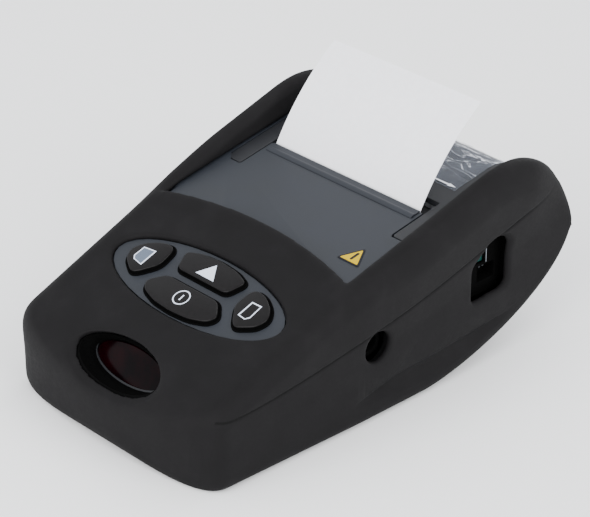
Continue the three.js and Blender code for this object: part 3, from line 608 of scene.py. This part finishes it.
def body_ring(station, inset, foot_steps=5, crown_steps=9):
    y, low, high, wide = inset_station(station, inset)
    wide = max(wide, 2.0)
    low = min(low, high - 1)
    foot = min(3.5, (high - low) * 0.4, wide * 0.45)
    rail = ease(station, -25, 12)
    crown_x = min(5.5 - 1.9 * rail, wide * 0.45)
    crown_z = min(5.5 + 3.5 * rail, (high - low) * 0.4)
    swell = min(0.4 + (RAIL_SWELL - 0.4) * rail, wide * 0.06) * (1 - ease(station, 50, 66))
    base = underside_at(station)
    share = min(0.48, max(0.3, (seam_at(station) - base) / max(1.0, crest_at(station) - base)))
    half = [(0.0, low)]
    for i in range(foot_steps + 1):
        turn = math.radians(-90 + 90 * i / foot_steps)
        half.append((wide - foot + foot * math.cos(turn), low + foot + foot * math.sin(turn)))
    half.append((wide, low + share * (high - low)))
    for i in range(crown_steps + 1):
        turn = math.radians(90 * i / crown_steps)
        half.append((wide + swell - crown_x * (1 - math.cos(turn)), high - crown_z * (1 - math.sin(turn))))
    half.append((0.0, high))
    ring = half + [(-x, z) for x, z in reversed(half[1:-1])]
    return [(x, y, z) for x, z in ring]


def stations():
    """Close together at the rounded ends, further apart along the straight middle."""
    front = [-HALF_LENGTH + NOSE[2] * (1 - math.cos(math.radians(90 * i / 14))) for i in range(14)]
    middle = [NOSE[0] + (TAIL[0] - NOSE[0]) * i / 48 for i in range(48)]
    rear = [TAIL[0] + TAIL[2] * math.sin(math.radians(90 * i / 20)) for i in range(21)]
    return front + middle + rear


def body_solid(name, inset):
    return skin(name, [body_ring(y, inset) for y in stations()])


def roof_plane(y):
    return ROOF_Z + ROOF_SLOPE * (y - ROOF_Y)


def roof_curve(start, inset=0.0, steps=24, drop=ROOF_DROP):
    """Roof and lid in profile: plane, rear bend, straight drop; inset moves it inwards."""
    tilt = math.atan(ROOF_SLOPE)
    centre_y = ROOF_BEND_Y + ROOF_BEND_RADIUS * math.sin(tilt)
    centre_z = roof_plane(ROOF_BEND_Y) - ROOF_BEND_RADIUS * math.cos(tilt)
    radius = ROOF_BEND_RADIUS - inset
    line = [(start, roof_plane(start) - inset / math.cos(tilt))]
    for i in range(steps + 1):
        turn = -tilt + (math.radians(ROOF_BEND_END) + tilt) * i / steps
        line.append((centre_y + radius * math.sin(turn), centre_z + radius * math.cos(turn)))
    down = math.radians(ROOF_BEND_END)
    end_y, end_z = line[-1]
    line.append((end_y + drop * math.cos(down), end_z - drop * math.sin(down)))
    return line


def roof_at(y):
    """Height of the roof or lid surface at one station."""
    line = roof_curve(-60.0)
    for (y0, z0), (y1, z1) in zip(line, line[1:]):
        if y0 <= y <= y1:
            return z0 + (z1 - z0) * (y - y0) / (y1 - y0)
    return line[-1][1]


# ---------------- the boot
def hood_edge(x):
    """Rear edge of the hood over the deck: a shallow arc that dips at the rails."""
    return HOOD_BACK - HOOD_ARC * (abs(x) / DECK_HALF) ** 2 - 2.5 * ease(abs(x), 35, 42)


def deck_opening():
    """What is cut out between the rails: slanting walls that flare out over a rounded lip."""
    lip, flare = 3.0, 2.7
    start, reach, rail_end, bend = -24, 104, 66, 50
    rings = []
    for step in range(70):
        y = start + reach * step / 69
        crest = crest_at(y) if y < rail_end else crest_at(rail_end) + (y - rail_end) * 0.5
        floor = roof_at(y) - 4 if y < bend else LID_FOOT
        level = min(roof_at(y) + 0.4, crest - 0.4) if y < rail_end else crest - 6
        side = [(LEG_FACE, floor), (LEG_FACE + 0.1, level)]
        wall_top = max(level + 0.2, crest - lip)
        slant = LEG_FACE + 0.1 + 0.22 * (wall_top - level)
        for i in range(7):
            turn = math.radians(90 * i / 6)
            rise = (crest + 0.05 - wall_top) * math.sin(turn)
            side.append((slant + flare * (1 - math.cos(turn)), wall_top + rise))
        side += [(slant + flare + 1.5, crest + 0.6), (slant + flare + 1.5, 90)]
        ring = side + [(-x, z) for x, z in reversed(side)]
        rings.append([(x, y, z) for x, z in ring])
    return skin("deck_opening", rings)


def hood_limit():
    """Keeps the opening behind the hood's curved edge, and rounds the hood's lip."""
    across = [-48 + 96 * i / 60 for i in range(61)]
    lip = ((-9.0, 0.0), (-1.3, 0.0), (-0.7, -0.12), (-0.3, -0.4), (0.0, -0.9), (0.5, -2.2), (5.0, -2.2))
    rings = []
    for height, back in lip:
        edge = [(x, hood_edge(x) + back, crest_at(hood_edge(x)) + height) for x in across]
        rings.append(edge + [(48, 95, edge[-1][2]), (-48, 95, edge[0][2])])
    rings.append([(x, y, 100) for x, y, z in rings[-1]])
    return skin("hood_limit", rings)


def tilted(points, y, z, degrees):
    """Points drawn in a tilted plane, as they lie on the printer."""
    turn = math.radians(degrees)
    c, s = math.cos(turn), math.sin(turn)
    return [(px, y + py * c - pz * s, z + py * s + pz * c) for px, py, pz in points]


def on_keypad(points):
    return tilted(points, *KEYPAD_PLACE)


def on_nose(points):
    return tilted(points, *WINDOW_PLACE)


def oval(half_wide, half_tall, x=0.0, y=0.0, count=72):
    turns = [2 * math.pi * i / count for i in range(count)]
    return [(x + half_wide * math.cos(t), y + half_tall * math.sin(t)) for t in turns]


def oval_opening(name, wide, tall, profile, place):
    """Oval hole whose rim flares out; the profile gives height and growth."""
    rings = [[(x, y, height) for x, y in oval(wide + grow, tall + grow)] for height, grow in profile]
    return skin(name, [place(ring) for ring in rings])


def jack_hole(name, profile):
    """Round hole through the side wall; the profile gives X and growth."""
    return skin(name, [[(x, y, z)
                        for y, z in oval(JACK_RADIUS + grow, JACK_RADIUS + grow, JACK_Y, JACK_Z, 48)]
                       for x, grow in profile])


def soft_outline(points, reach, steps=5):
    """Polygon with its corners rounded back by the given distance."""
    outline = []
    for i, corner in enumerate(points):
        corner = Vector(corner)
        before, after = Vector(points[i - 1]), Vector(points[(i + 1) % len(points)])
        back = corner + (before - corner).normalized() * min(reach, (before - corner).length / 2.2)
        ahead = corner + (after - corner).normalized() * min(reach, (after - corner).length / 2.2)
        for step in range(steps + 1):
            t = step / steps
            outline.append(tuple(back * (1 - t) ** 2 + corner * (2 * t * (1 - t)) + ahead * t ** 2))
    return outline


def grown(points, distance):
    """Outline moved outwards along its own corners' normals."""
    result = []
    count = len(points)
    for i in range(count):
        before, after = Vector(points[i - 1]), Vector(points[(i + 1) % count])
        along = (after - before).normalized()
        result.append((points[i][0] + along.y * distance, points[i][1] - along.x * distance))
    return result


PORT_OUTLINE = [(29.2, 21.6), (41.6, 22.4), (43.2, 24.0), (43.2, 36.8), (40.6, 38.9), (36.5, 38.6),
                (29.2, 33.0)]


def port_opening():
    profile = ((36.6, 0.0), (41.4, 0.0), (42.0, 0.35), (42.7, 1.5), (60, 1.5))
    outline = soft_outline(PORT_OUTLINE, 2.0)
    return skin("port_opening", [[(x, y, z) for y, z in grown(outline, grow)] for x, grow in profile])


def box_tool(name, low, high):
    centre = [(a + b) / 2 * MM for a, b in zip(low, high)]
    deselect()
    bpy.ops.mesh.primitive_cube_add(size=1, location=centre, scale=[(b - a) * MM for a, b in zip(low, high)])
    tool = bpy.context.object
    tool.name = name
    return settle(tool)


def boot_legs():
    """The inner legs of the rails, which stand on the lid's two sides."""
    legs = None
    for side in (1, -1):
        line = [(y, z + 0.3) for y, z in roof_curve(-30.0)]
        outline = line + [(85, HINGE_Z), (85, 90), (-30, 90)]
        inner, outer = sorted((side * (LEG_FACE - 0.4), side * 38.4))
        leg = skin("leg", [[(x, y, z) for y, z in outline] for x in (inner, outer)])
        legs = leg if legs is None else cut(legs, leg, "UNION")
    return legs


def reshape(piece, change):
    """Move the vertices: the change takes X, Y and Z in millimetres and gives the new X and Z."""
    mesh = piece.data
    co = np.empty(len(mesh.vertices) * 3)
    mesh.vertices.foreach_get("co", co)
    co = co.reshape(-1, 3)
    x, y, z = (co / MM).T
    new_x, new_z = change(x, y, z)
    co[:, 0], co[:, 2] = new_x * MM, new_z * MM
    mesh.vertices.foreach_set("co", co.ravel())
    mesh.update()


def pressed_sides(x, y, z):
    """Side walls pushed in by the seam's groove and the scoop."""
    outer = np.abs(x) > np.interp(y, [-70, -58, -13, 70], [33, 39.4, 40.9, 40.9])
    return x - np.sign(x) * seam_and_scoop(y, z) * outer, z


def raised_brim(x, y, z):
    """Hood's skin lifted a little along its rear edge, into a soft brim."""
    edge = HOOD_BACK - 2.0 - HOOD_ARC * (np.abs(x) / DECK_HALF) ** 2
    near = np.exp(-((y - edge) / 2.6) ** 2) * np.clip((40 - np.abs(x)) / 5, 0, 1)
    upper = np.clip((z - keypad_plane(y) + 2.5) / 2.0, 0, 1)
    return x, z + 0.9 * near * upper


def seam_and_scoop(y, z):
    """Depth of the mould seam's groove and of the crescent thumb scoop below it."""
    fade = np.clip((62 - y) / 14, 0, 1) * np.clip((y + 57.4) / 0.8, 0, 1)
    groove = 0.32 * np.exp(-((z - seam_at(y)) / 0.42) ** 2) * fade
    scoop_y = (-16, 0, 17, 29, 45)
    upper = np.interp(y, scoop_y, (8.6, 11.7, 12.4, 13.1, 14.6))
    lower = np.interp(y, scoop_y, (7.0, 5.2, 5.2, 7.4, 13.2))
    share = np.clip((z - lower) / np.maximum(0.5, upper - lower), 0, 1)
    ends = np.clip((y + 16) / 10, 0, 1) * np.clip((45 - y) / 12, 0, 1)
    scoop = 1.3 * np.sin(np.pi * share ** 1.6) ** 0.7 * ends
    return groove + np.nan_to_num(scoop)


def make_boot():
    boot = body_solid("rubber_boot_fine", 0.0)
    inside = cut(body_solid("boot_inside", RUBBER), boot_legs())
    cut(boot, inside)
    cut(boot, cut(deck_opening(), hood_limit(), "INTERSECT"))
    cut(boot, box_tool("lid_foot_room", (-LEG_FACE, 58, LID_FOOT), (LEG_FACE, 85, 60)))
    rim = ((-6, -0.3), (-1.2, -0.2), (-0.5, 0.0), (-0.1, 0.5), (0.3, 1.3), (1.0, 2.2))
    cut(boot, oval_opening("keypad_opening", KEYPAD_LONG, KEYPAD_SHORT, rim, on_keypad))
    lip = ((-9, -0.7), (-2.4, -0.5), (-1.0, -0.1), (-0.3, 0.5), (0.2, 1.3), (0.8, 2.6), (9, 3.8))
    cut(boot, oval_opening("nose_opening", WINDOW_WIDE, WINDOW_TALL, lip, on_nose))
    cut(boot, jack_hole("jack_opening", ((36, 0.0), (41.8, 0.0), (42.3, 0.3), (42.8, 1.2), (60, 1.2))))
    cut(boot, port_opening())
    cut(boot, box_tool("door_opening", (-33, -54, -1), (33, 12, 3)))
    voxel = 0.4
    rounds = 16
    modify(boot, "REMESH", mode="VOXEL", voxel_size=voxel * MM)
    modify(boot, "SMOOTH", factor=0.5, iterations=rounds)
    reshape(boot, pressed_sides)
    reshape(boot, raised_brim)
    triangles = len(boot.data.polygons) * 2
    modify(boot, "DECIMATE", ratio=min(1.0, BOOT_TRIANGLES / triangles))
    activate(boot)
    bpy.ops.object.shade_smooth()
    return finish_piece(boot, "housing", "rubber", "rubber_boot")


# ---------------- keypad
PAGE_KEY = [(15.2, 0.2), (15.6, 6), (17.4, 7.5), (21, 6.9), (25.2, 4.4), (27.6, 1), (26.4, -2.6), (21.3, -5.7),
            (19.2, -4.8)]
KEY_OUTLINES = {
    "status": [(-x, y) for x, y in reversed(PAGE_KEY)],
    "form": PAGE_KEY,
    "feed": [(-9.8, 2), (9.8, 2), (12.2, 7.8), (7, 9.6), (0, 10.2), (-7, 9.6), (-12.2, 7.8)],
    "power": [(-10.2, -1.2), (-14.4, -5.6), (-12.8, -8.3), (-7, -10.1), (0, -10.6), (7, -10.1), (12.8, -8.3),
              (14.4, -5.6), (10.2, -1.2)],
}
KEY_TOP = 0.3


def make_key(name, outline):
    """Key cap with a rounded top edge and a flange that keeps it under the case."""
    outline = soft_outline(in_turn(outline), 1.8)
    cap = plate(f"key_cap_{name}", outline, -5.2, KEY_TOP)
    round_edges(cap, KEY_TOP, 0.5, 4)
    cap = cut(cap, plate("flange", grown(outline, 0.6), -5.2, -4.1), "UNION")
    finish_piece(cap, f"button_{name}", "key_plastic", f"key_{name}")
    # The key's side faces and flange take the near-black look: painted shade in the gap round the key.
    cap.data.materials.append(LOOKS["matt_black"])
    for face in cap.data.polygons:
        face.material_index = 1 if abs(face.normal.z) < 0.25 or face.center.z < -2 * MM else 0
    return smooth(lay(cap, *KEYPAD_PLACE), 40)


def make_key_gap_shadow(name, outline):
    """Painted shadow: a flat near-black ring on the bezel round a key, where the gap between key and bezel lies
    in shade.
    """
    outline = soft_outline(in_turn(outline), 1.8)
    gap_shadow = plate(f"key_gap_shadow_{name}", grown(outline, 0.7), -1.25, -1.0)
    cut(gap_shadow, plate("hole", grown(outline, 0.08), -2, 0))
    lay(gap_shadow, *KEYPAD_PLACE)
    return finish_piece(gap_shadow, "housing", "key_plastic", look="matt_black")


def in_turn(outline):
    """The outline running anticlockwise seen from above."""
    area = sum(x0 * y1 - x1 * y0 for (x0, y0), (x1, y1) in zip(outline, outline[1:] + outline[:1]))
    return outline if area > 0 else outline[::-1]


def ink_mark(name, button, outline, hole=None, look="ink"):
    """Printed mark on a key's top, with a hole in it where one is given."""
    mark = plate(name, outline, KEY_TOP - 0.02, KEY_TOP + 0.03)
    if hole:
        cut(mark, plate("hole", hole, KEY_TOP - 1, KEY_TOP + 1))
    lay(mark, *KEYPAD_PLACE)
    return finish_piece(mark, f"button_{button}", "key_plastic", look=look)


def make_keypad():
    for name, outline in KEY_OUTLINES.items():
        make_key(name, outline)
        make_key_gap_shadow(name, outline)
    ink_mark("mark_feed_triangle", "feed", [(-3.6, 3.3), (3.6, 3.3), (0, 8.3)])
    ink_mark("mark_power_ring", "power", oval(2.6, 2.6, 0, -5.5, 40), oval(2.25, 2.25, 0, -5.5, 40))
    ink_mark("mark_power_bar", "power", [(-0.22, -6.5), (0.22, -6.5), (0.22, -4.5), (-0.22, -4.5)])
    page = [(18.8, -2.0), (21.7, -2.3), (22.8, -1.1), (22.7, 3.6), (19.0, 3.5)]
    ink_mark("mark_form_page", "form", page, shrunk(page, 0.8, 0.88))
    full_page = [(-24.6, -0.9), (-23.6, -2.0), (-19.9, -2.6), (-19.7, 3.4), (-24.3, 2.9)]
    ink_mark("mark_status_page", "status", full_page, shrunk(full_page, 0.82, 0.88))
    ink_mark("mark_status_fill", "status", shrunk(full_page, 0.83, 0.89), look="ink_tint")


def shrunk(outline, wide, tall):
    """Outline drawn in towards its own middle."""
    middle_x = sum(x for x, y in outline) / len(outline)
    middle_y = sum(y for x, y in outline) / len(outline)
    return [(middle_x + (x - middle_x) * wide, middle_y + (y - middle_y) * tall) for x, y in outline]


# ---------------- nose window, sockets
def make_window():
    lens = plate("infrared_lens", oval(14.0, 5.2), -7.8, -6.4)
    round_edges(lens, -6.4, 0.4, 3)
    smooth(lay(lens, *WINDOW_PLACE), 40)
    finish_piece(lens, "housing", "red_window", "ir_window")
    rim = plate("lens_retaining_rim", oval(14.05, 5.25), -6.35, -5.9)
    cut(rim, plate("hole", oval(13.9, 5.15, 0.0, 0.45), -8, -4))
    lay(rim, *WINDOW_PLACE)
    broken_rims(rim, 0.12, 2)
    finish_piece(rim, "housing", "slate_plastic", look="lid_plastic")
    # The funnel takes the near-black look: painted shade in the window's recess.
    finish_piece(make_tunnel(), "housing", "black_plastic", "window_tunnel", look="matt_black")


def make_tunnel():
    """Funnel from the boot's opening down to the lens."""
    outside = ((-8.6, 0.0), (-5.0, 0.3), (-3.2, 1.9), (4.0, 2.6))
    inside = ((-9.0, 0.0), (-6.0, 0.05), (-4.0, 0.9), (-2.4, 1.7), (4.5, 2.2))
    tunnel = oval_opening("lens_tunnel", 14.9, 6.1, outside, on_nose)
    cut(tunnel, oval_opening("bore", 14.1, 5.3, inside, on_nose))
    cut(tunnel, body_solid("trim", RUBBER + 0.1), "INTERSECT")
    return smooth(tunnel, 40)


def make_sockets():
    # Jack and port shells take the near-black look: painted shade inside their openings.
    jack = edge_broken("dc_jack", "power_jack", 0.25)
    finish_piece(jack, "housing", "black_plastic", "dc_jack", look="matt_black")
    port = edge_broken("data_port", "data_socket_shell", 0.3)
    # Near-black block at the port's rear end that covers the lit case edge: painted shade.
    cut(port, box_tool("port_end_shade_block", (37.2, 44.9, 24.4), (39.8, 45.7, 40.8)), "UNION")
    finish_piece(port, "housing", "black_plastic", "data_port", look="matt_black")
    blade = box_tool("port_shield_blade", (37.9, 38.6, 30.0), (38.15, 38.9, 36.2))
    broken_rims(blade, 0.06, 2)
    finish_piece(blade, "housing", "steel")
    for i in range(4):
        pin = box_tool(f"socket_contact_{i + 1}", (33.7, 36.6 + 1.4 * i, 26.5), (34.9, 37.2 + 1.4 * i, 26.9))
        broken_rims(pin, 0.08, 2)
        finish_piece(pin, "housing", "steel")


# ---------------- lid, film and tear bar
ARM_FRONT, ARM_INNER, LID_FRONT, ARM_CORNER = 9.25, 30.45, 27.5, 2.5     # the lid's two front arms in plan


def corner_arc(x, y, radius, start, steps=6):
    turns = [math.radians(start - 90 * i / steps) for i in range(steps + 1)]
    return [(x + radius * math.cos(t), y + radius * math.sin(t)) for t in turns]


def lid_plan():
    left = corner_arc(-LID_HALF + ARM_CORNER, ARM_FRONT + ARM_CORNER, ARM_CORNER, 180)
    left = [(-LID_HALF, 90)] + [(x, 2 * (ARM_FRONT + ARM_CORNER) - y) for x, y in left]
    left += [(-ARM_INNER - 0.6, ARM_FRONT), (-ARM_INNER, ARM_FRONT + 0.6), (-ARM_INNER, LID_FRONT)]
    return left + [(-x, y) for x, y in reversed(left)]


def lid_bracket(side):
    """Plate under the lid that carries one end of the platen."""
    web = [(20, 45.5), (20.5, 47), (34, 49.6), (33, 45), (30, 40), (27.5, 38.7), (24.9, 38.7), (22.3, 40.6)]
    x0, x1 = sorted((side * 32, side * 33.6))
    return cut(along_x("bracket", web, x0, x1), rod_x("bore", 2.75, PLATEN_Y, PLATEN_Z, x0 - 1, x1 + 1))


def make_lid():
    profile = roof_curve(0.0) + list(reversed(roof_curve(0.0, 1.7)))
    lid = along_x("paper_lid_shell", profile, -LID_HALF, LID_HALF)
    cut(lid, plate("plan", lid_plan(), 0, 90), "INTERSECT")
    for side in (1, -1):
        cut(lid, lid_bracket(side), "UNION")
        x0, x1 = sorted((side * 18.6, side * 33))
        cut(lid, rod_x("knuckle", 2.4, HINGE_Y, HINGE_Z, x0, x1, 40), "UNION")
    cut(lid, rod_x("knuckle_room", 2.8, HINGE_Y, HINGE_Z, -18.3, 18.3, 40))
    cut(lid, rod_x("pin_bore", 1.1, HINGE_Y, HINGE_Z, -50, 50, 32))
    broken_rims(lid, 0.3, 3)
    return finish_piece(lid, "lid", "lid_plastic", "paper_lid")


def film_height(x, along):
    """Creases of the film: flat in front, more and sharper towards the rear bend."""
    rough = min(1.0, max(0.0, (along - 6) / 16))
    fold = noise.noise(Vector((x * 0.16, along * 0.35, 1.7)))
    sharp = abs(noise.noise(Vector((x * 0.3 + along * 0.22, along * 0.12, 5.1))))
    return 0.12 + rough * max(0.0, 0.28 * fold + 0.35 * (0.5 - sharp))


def make_film():
    """Protective film: a fine grid laid over the lid, its front right corner drawn out to a point."""
    line = roof_curve(33.0)[:-1]
    line += [(line[-1][0] + 0.5, line[-1][1] - 1.9)]
    lengths = [0.0]
    for (y0, z0), (y1, z1) in zip(line, line[1:]):
        lengths.append(lengths[-1] + math.hypot(y1 - y0, z1 - z0))

    def lid_point(along):
        return [float(np.interp(along, lengths, values)) for values in zip(*line)]

    def laid_over(across, share):
        x = across * FILM_HALF
        start = 0.9 + 1.1 * (1 - ease(x, -10, 30))
        along = start + (share + 1) / 2 * (lengths[-1] - 0.4 - start)
        y, z = lid_point(along)
        next_y, next_z = lid_point(along + 0.3)
        reach = math.hypot(next_y - y, next_z - z) or 1.0
        lift = film_height(x, along)
        return x, y - (next_z - z) / reach * lift, z + (next_y - y) / reach * lift

    film = thin_sheet("creased_lid_film", 90, 70, laid_over, 0.06, 1.0, 180)
    finish_piece(film, "lid", "clear_film", "lid_film")
    # Arrow-shaped white strip along the film's front edge: a painted glare.
    arrow = [(2, 34.75), (26.6, 34.75), (26.6, 34.35), (29.2, 35.0), (26.6, 35.65), (26.6, 35.25), (2, 35.25)]
    fold = plate("film_front_glare_strip", arrow, 0, 0.06)
    for vertex in fold.data.vertices:
        vertex.co.z += (roof_plane(vertex.co.y / MM) + 0.3) * MM
    finish_piece(fold, "lid", "clear_film", look="folded_film")


def make_tear_bar():
    """Rounded plastic bar with a raised ridge along the paper slot; its saw teeth are not modelled."""
    profile = [(17.7, 0.08), (21.3, 0.08), (21.4, 0.3), (21.2, 0.42), (19.6, 0.35), (19.2, 0.55), (18.8, 0.6),
               (18.3, 0.5), (17.9, 0.3)]
    profile = [(y, roof_plane(y) + lift) for y, lift in profile]
    bar = along_x("tear_bar_saw_edge", profile, -29, 29)
    broken_rims(bar, 0.12, 3)
    return finish_piece(bar, "housing", "slate_plastic", "tear_bar")


# ---------------- paper
def strip_line():
    """The web: off the roll's front, past the print line, out of the slot and curving back."""
    centre, radius = (ROLL_Y, ROLL_Z), ROLL_RADIUS
    guide, nip = (21.7, 37.0), (21.8, PLATEN_Z)
    span = math.hypot(guide[0] - centre[0], guide[1] - centre[1])
    toward = math.atan2(guide[1] - centre[1], guide[0] - centre[0])
    touch = toward - math.acos(radius / span)
    line = [(centre[0] + radius * math.cos(touch), centre[1] + radius * math.sin(touch)), guide, nip,
            (21.75, 48.2)]
    y, z = line[-1]
    steps, length = 26, 34.6
    for i in range(steps):
        lean = 60 - 24 * i / (steps - 1)
        y += math.cos(math.radians(lean)) * length / steps
        z += math.sin(math.radians(lean)) * length / steps
        line.append((y, z))
    return line


def make_paper():
    line = strip_line()
    last, slot = len(line) - 1, 4

    def bowed(across, share):
        row = round((share + 1) / 2 * last)
        y, z = line[row]
        bow = 0.245 * max(0.0, (row - slot) / (last - slot)) * (1 - across ** 2)
        return across * PAPER_HALF, y - bow, z + bow

    sheet = thin_sheet("printed_paper_strip", 24, last, bowed, 0.12, 0.0, 40)
    return finish_piece(sheet, "housing", "paper", "paper_strip")


def tube(name, radius, bore, y, z, half, sides):
    """Turned sleeve centred on the printer, bored right through; sides: of the outside, of the bore."""
    return cut(rod_x(name, radius, y, z, -half, half, sides[0]), rod_x("bore", bore, y, z, -40, 40, sides[1]))


def make_roll():
    roll = tube("thermal_paper_roll", ROLL_RADIUS, 7.7, ROLL_Y, ROLL_Z, PAPER_HALF, (128, 64))
    broken_rims(roll, 0.12, 2)
    finish_piece(roll, "roll", "paper", "paper_roll", look="wound_paper")
    core = tube("board_core", 7.5, 6, ROLL_Y, ROLL_Z, PAPER_HALF, (64, 64))
    broken_rims(core, 0.15, 2)
    finish_piece(core, "roll", "cardboard", "roll_core")


def make_platen():
    rubber = tube("platen_sleeve", 4.0, 1.6, PLATEN_Y, PLATEN_Z, 29.2, (96, 32))
    broken_rims(rubber, 0.3, 3)
    finish_piece(rubber, "platen", "platen_rubber", "platen_rubber")
    shaft = broken_rims(rod_x("platen_axle", 1.5, PLATEN_Y, PLATEN_Z, -36.2, 33.9, 40), 0.25, 3)
    finish_piece(shaft, "platen", "steel", "platen_shaft")


# ---------------- label and smaller parts
def deck_y(y):
    """Distance from the tear line, along the sloping plane."""
    return (y - ROOF_Y) / math.cos(math.atan(ROOF_SLOPE))


def make_label():
    """Yellow vinyl triangle with a dark border and a plain dark bar."""
    outer = soft_outline([(24.9, deck_y(-6.3)), (33.1, deck_y(-6.3)), (29.0, deck_y(0.7))], 0.7, 4)
    inner = soft_outline([(25.7, deck_y(-5.85)), (32.3, deck_y(-5.85)), (29.0, deck_y(-0.2))], 0.5, 4)
    half_turn = [math.pi * k / 7 for k in range(8)]
    ends = [(deck_y(-4.7), math.pi), (deck_y(-2.2), 0.0)]
    bar = [(29 + 0.42 * math.cos(start + t), y + 0.42 * math.sin(start + t))
           for y, start in ends for t in half_turn]
    layers = (("label_border", outer, 0.09, 0.18, "black_ink", []),
              ("label_yellow_face", inner, 0.12, 0.22, "yellow_label", ["caution_label"]),
              ("label_plain_bar", bar, 0.2, 0.25, "black_ink", []))
    for name, outline, low, high, look, nodes in layers:
        layer = lay(plate(name, outline, low, high), *DECK_PLACE)
        finish_piece(layer, "housing", "yellow_label", *nodes, look=look)


def make_small_parts():
    """Moulded, turned and stamped pieces that keep their CAD shape, with their edges broken."""
    record = {part["node"]: part["material_slot"] for part in frame["record"]["subparts"]}
    body_of = {node: body for body, nodes in frame["record"]["behaviour"]["bodies"].items() for node in nodes}
    widths = {"battery_cover": 0.35, "upper_case": 0.3, "lower_case": 0.3, "platen_gear": 0.08,
              "idler_gear": 0.08, "motor_pinion": 0.06, "platen_bearing_right": 0.15,
              "platen_bearing_left": 0.15, "print_head": 0.12, "heat_sink": 0.2, "mech_frame": 0.15,
              "stepper_motor": 0.3}
    for end in ("front", "rear"):
        widths.update({f"case_screw_{end}_{side}": 0.2 for side in ("right", "left")})
    for node, width in widths.items():
        slot = record[node]
        piece = copied(node, f"{node}_finished")
        if node in ("upper_case", "lower_case"):
            clear_openings(piece)
        broken_rims(piece, width, 2)
        finish_piece(piece, body_of[node], slot, node)


def clear_openings(case):
    """Case openings a little larger than the boot's, so that only black shows behind the rubber."""
    cut(case, oval_opening("nose_room", 17.0, 8.0, ((-7, 0), (6, 0)), on_nose))
    cut(case, jack_hole("jack_room", ((38.0, 1.4), (50.0, 1.4))))
    cut(case, box_tool("port_room", (38.0, 26.8, 19.5), (50, 47.2, 41.6)))


# ---------------- floor, lights and camera
def floor_and_light():
    deselect()
    bpy.ops.mesh.primitive_plane_add(size=6.0)
    floor = bpy.context.object
    floor.name = "studio_floor"
    material, tree, shader, place = new_material("white_sweep")
    fill_in(tree, shader, {"Base Color": (0.95, 0.95, 0.95, 1), "Roughness": 0.9})
    floor.data.materials.append(material)
    world = bpy.data.worlds.new("studio")
    bpy.context.scene.world = world
    world.use_nodes = True
    world.node_tree.nodes["Background"].inputs["Color"].default_value = (0.95, 0.97, 1.0, 1)
    world.node_tree.nodes["Background"].inputs["Strength"].default_value = 1.7
    lamps = {
        "front_softbox": ((0.15, -1.3, 0.7), 1.3, 24.0),
        "right_softbox": ((1.3, 0.1, 0.8), 1.1, 16.0),
        "rear_softbox": ((-0.2, 1.4, 1.2), 1.2, 8.0),
    }
    for name, (spot, size, power) in lamps.items():
        lamp = bpy.data.lights.new(name, "AREA")
        lamp.size = size
        lamp.energy = power
        holder = bpy.data.objects.new(name, lamp)
        holder.location = spot
        holder.rotation_euler = (Vector((0, 0, 0.03)) - Vector(spot)).to_track_quat("-Z", "Y").to_euler()
        bpy.context.scene.collection.objects.link(holder)


def make_camera():
    """Long lens from the right front, above: 46.66 degrees round, 28.69 degrees up."""
    lens = bpy.data.cameras.new("camera")
    lens.lens = 158.94
    lens.sensor_width = 36.0
    lens.clip_start = 0.01
    camera = bpy.data.objects.new("camera", lens)
    right = Vector((0.68631, 0.72731, 0.0))
    up = Vector((-0.34912, 0.32944, 0.87727))
    back = Vector((0.63805, -0.60208, 0.48001))
    turn = Matrix((right, up, back)).transposed().to_4x4()
    camera.matrix_world = Matrix.Translation(Vector((462.1, -434.1, 377.3)) * MM) @ turn
    bpy.context.scene.collection.objects.link(camera)
    bpy.context.scene.camera = camera


make_camera()
floor_and_light()
dress_cad_nodes()
make_boot()
make_keypad()
make_window()
make_sockets()
make_lid()
make_film()
make_tear_bar()
make_paper()
make_roll()
make_platen()
make_label()
make_small_parts()
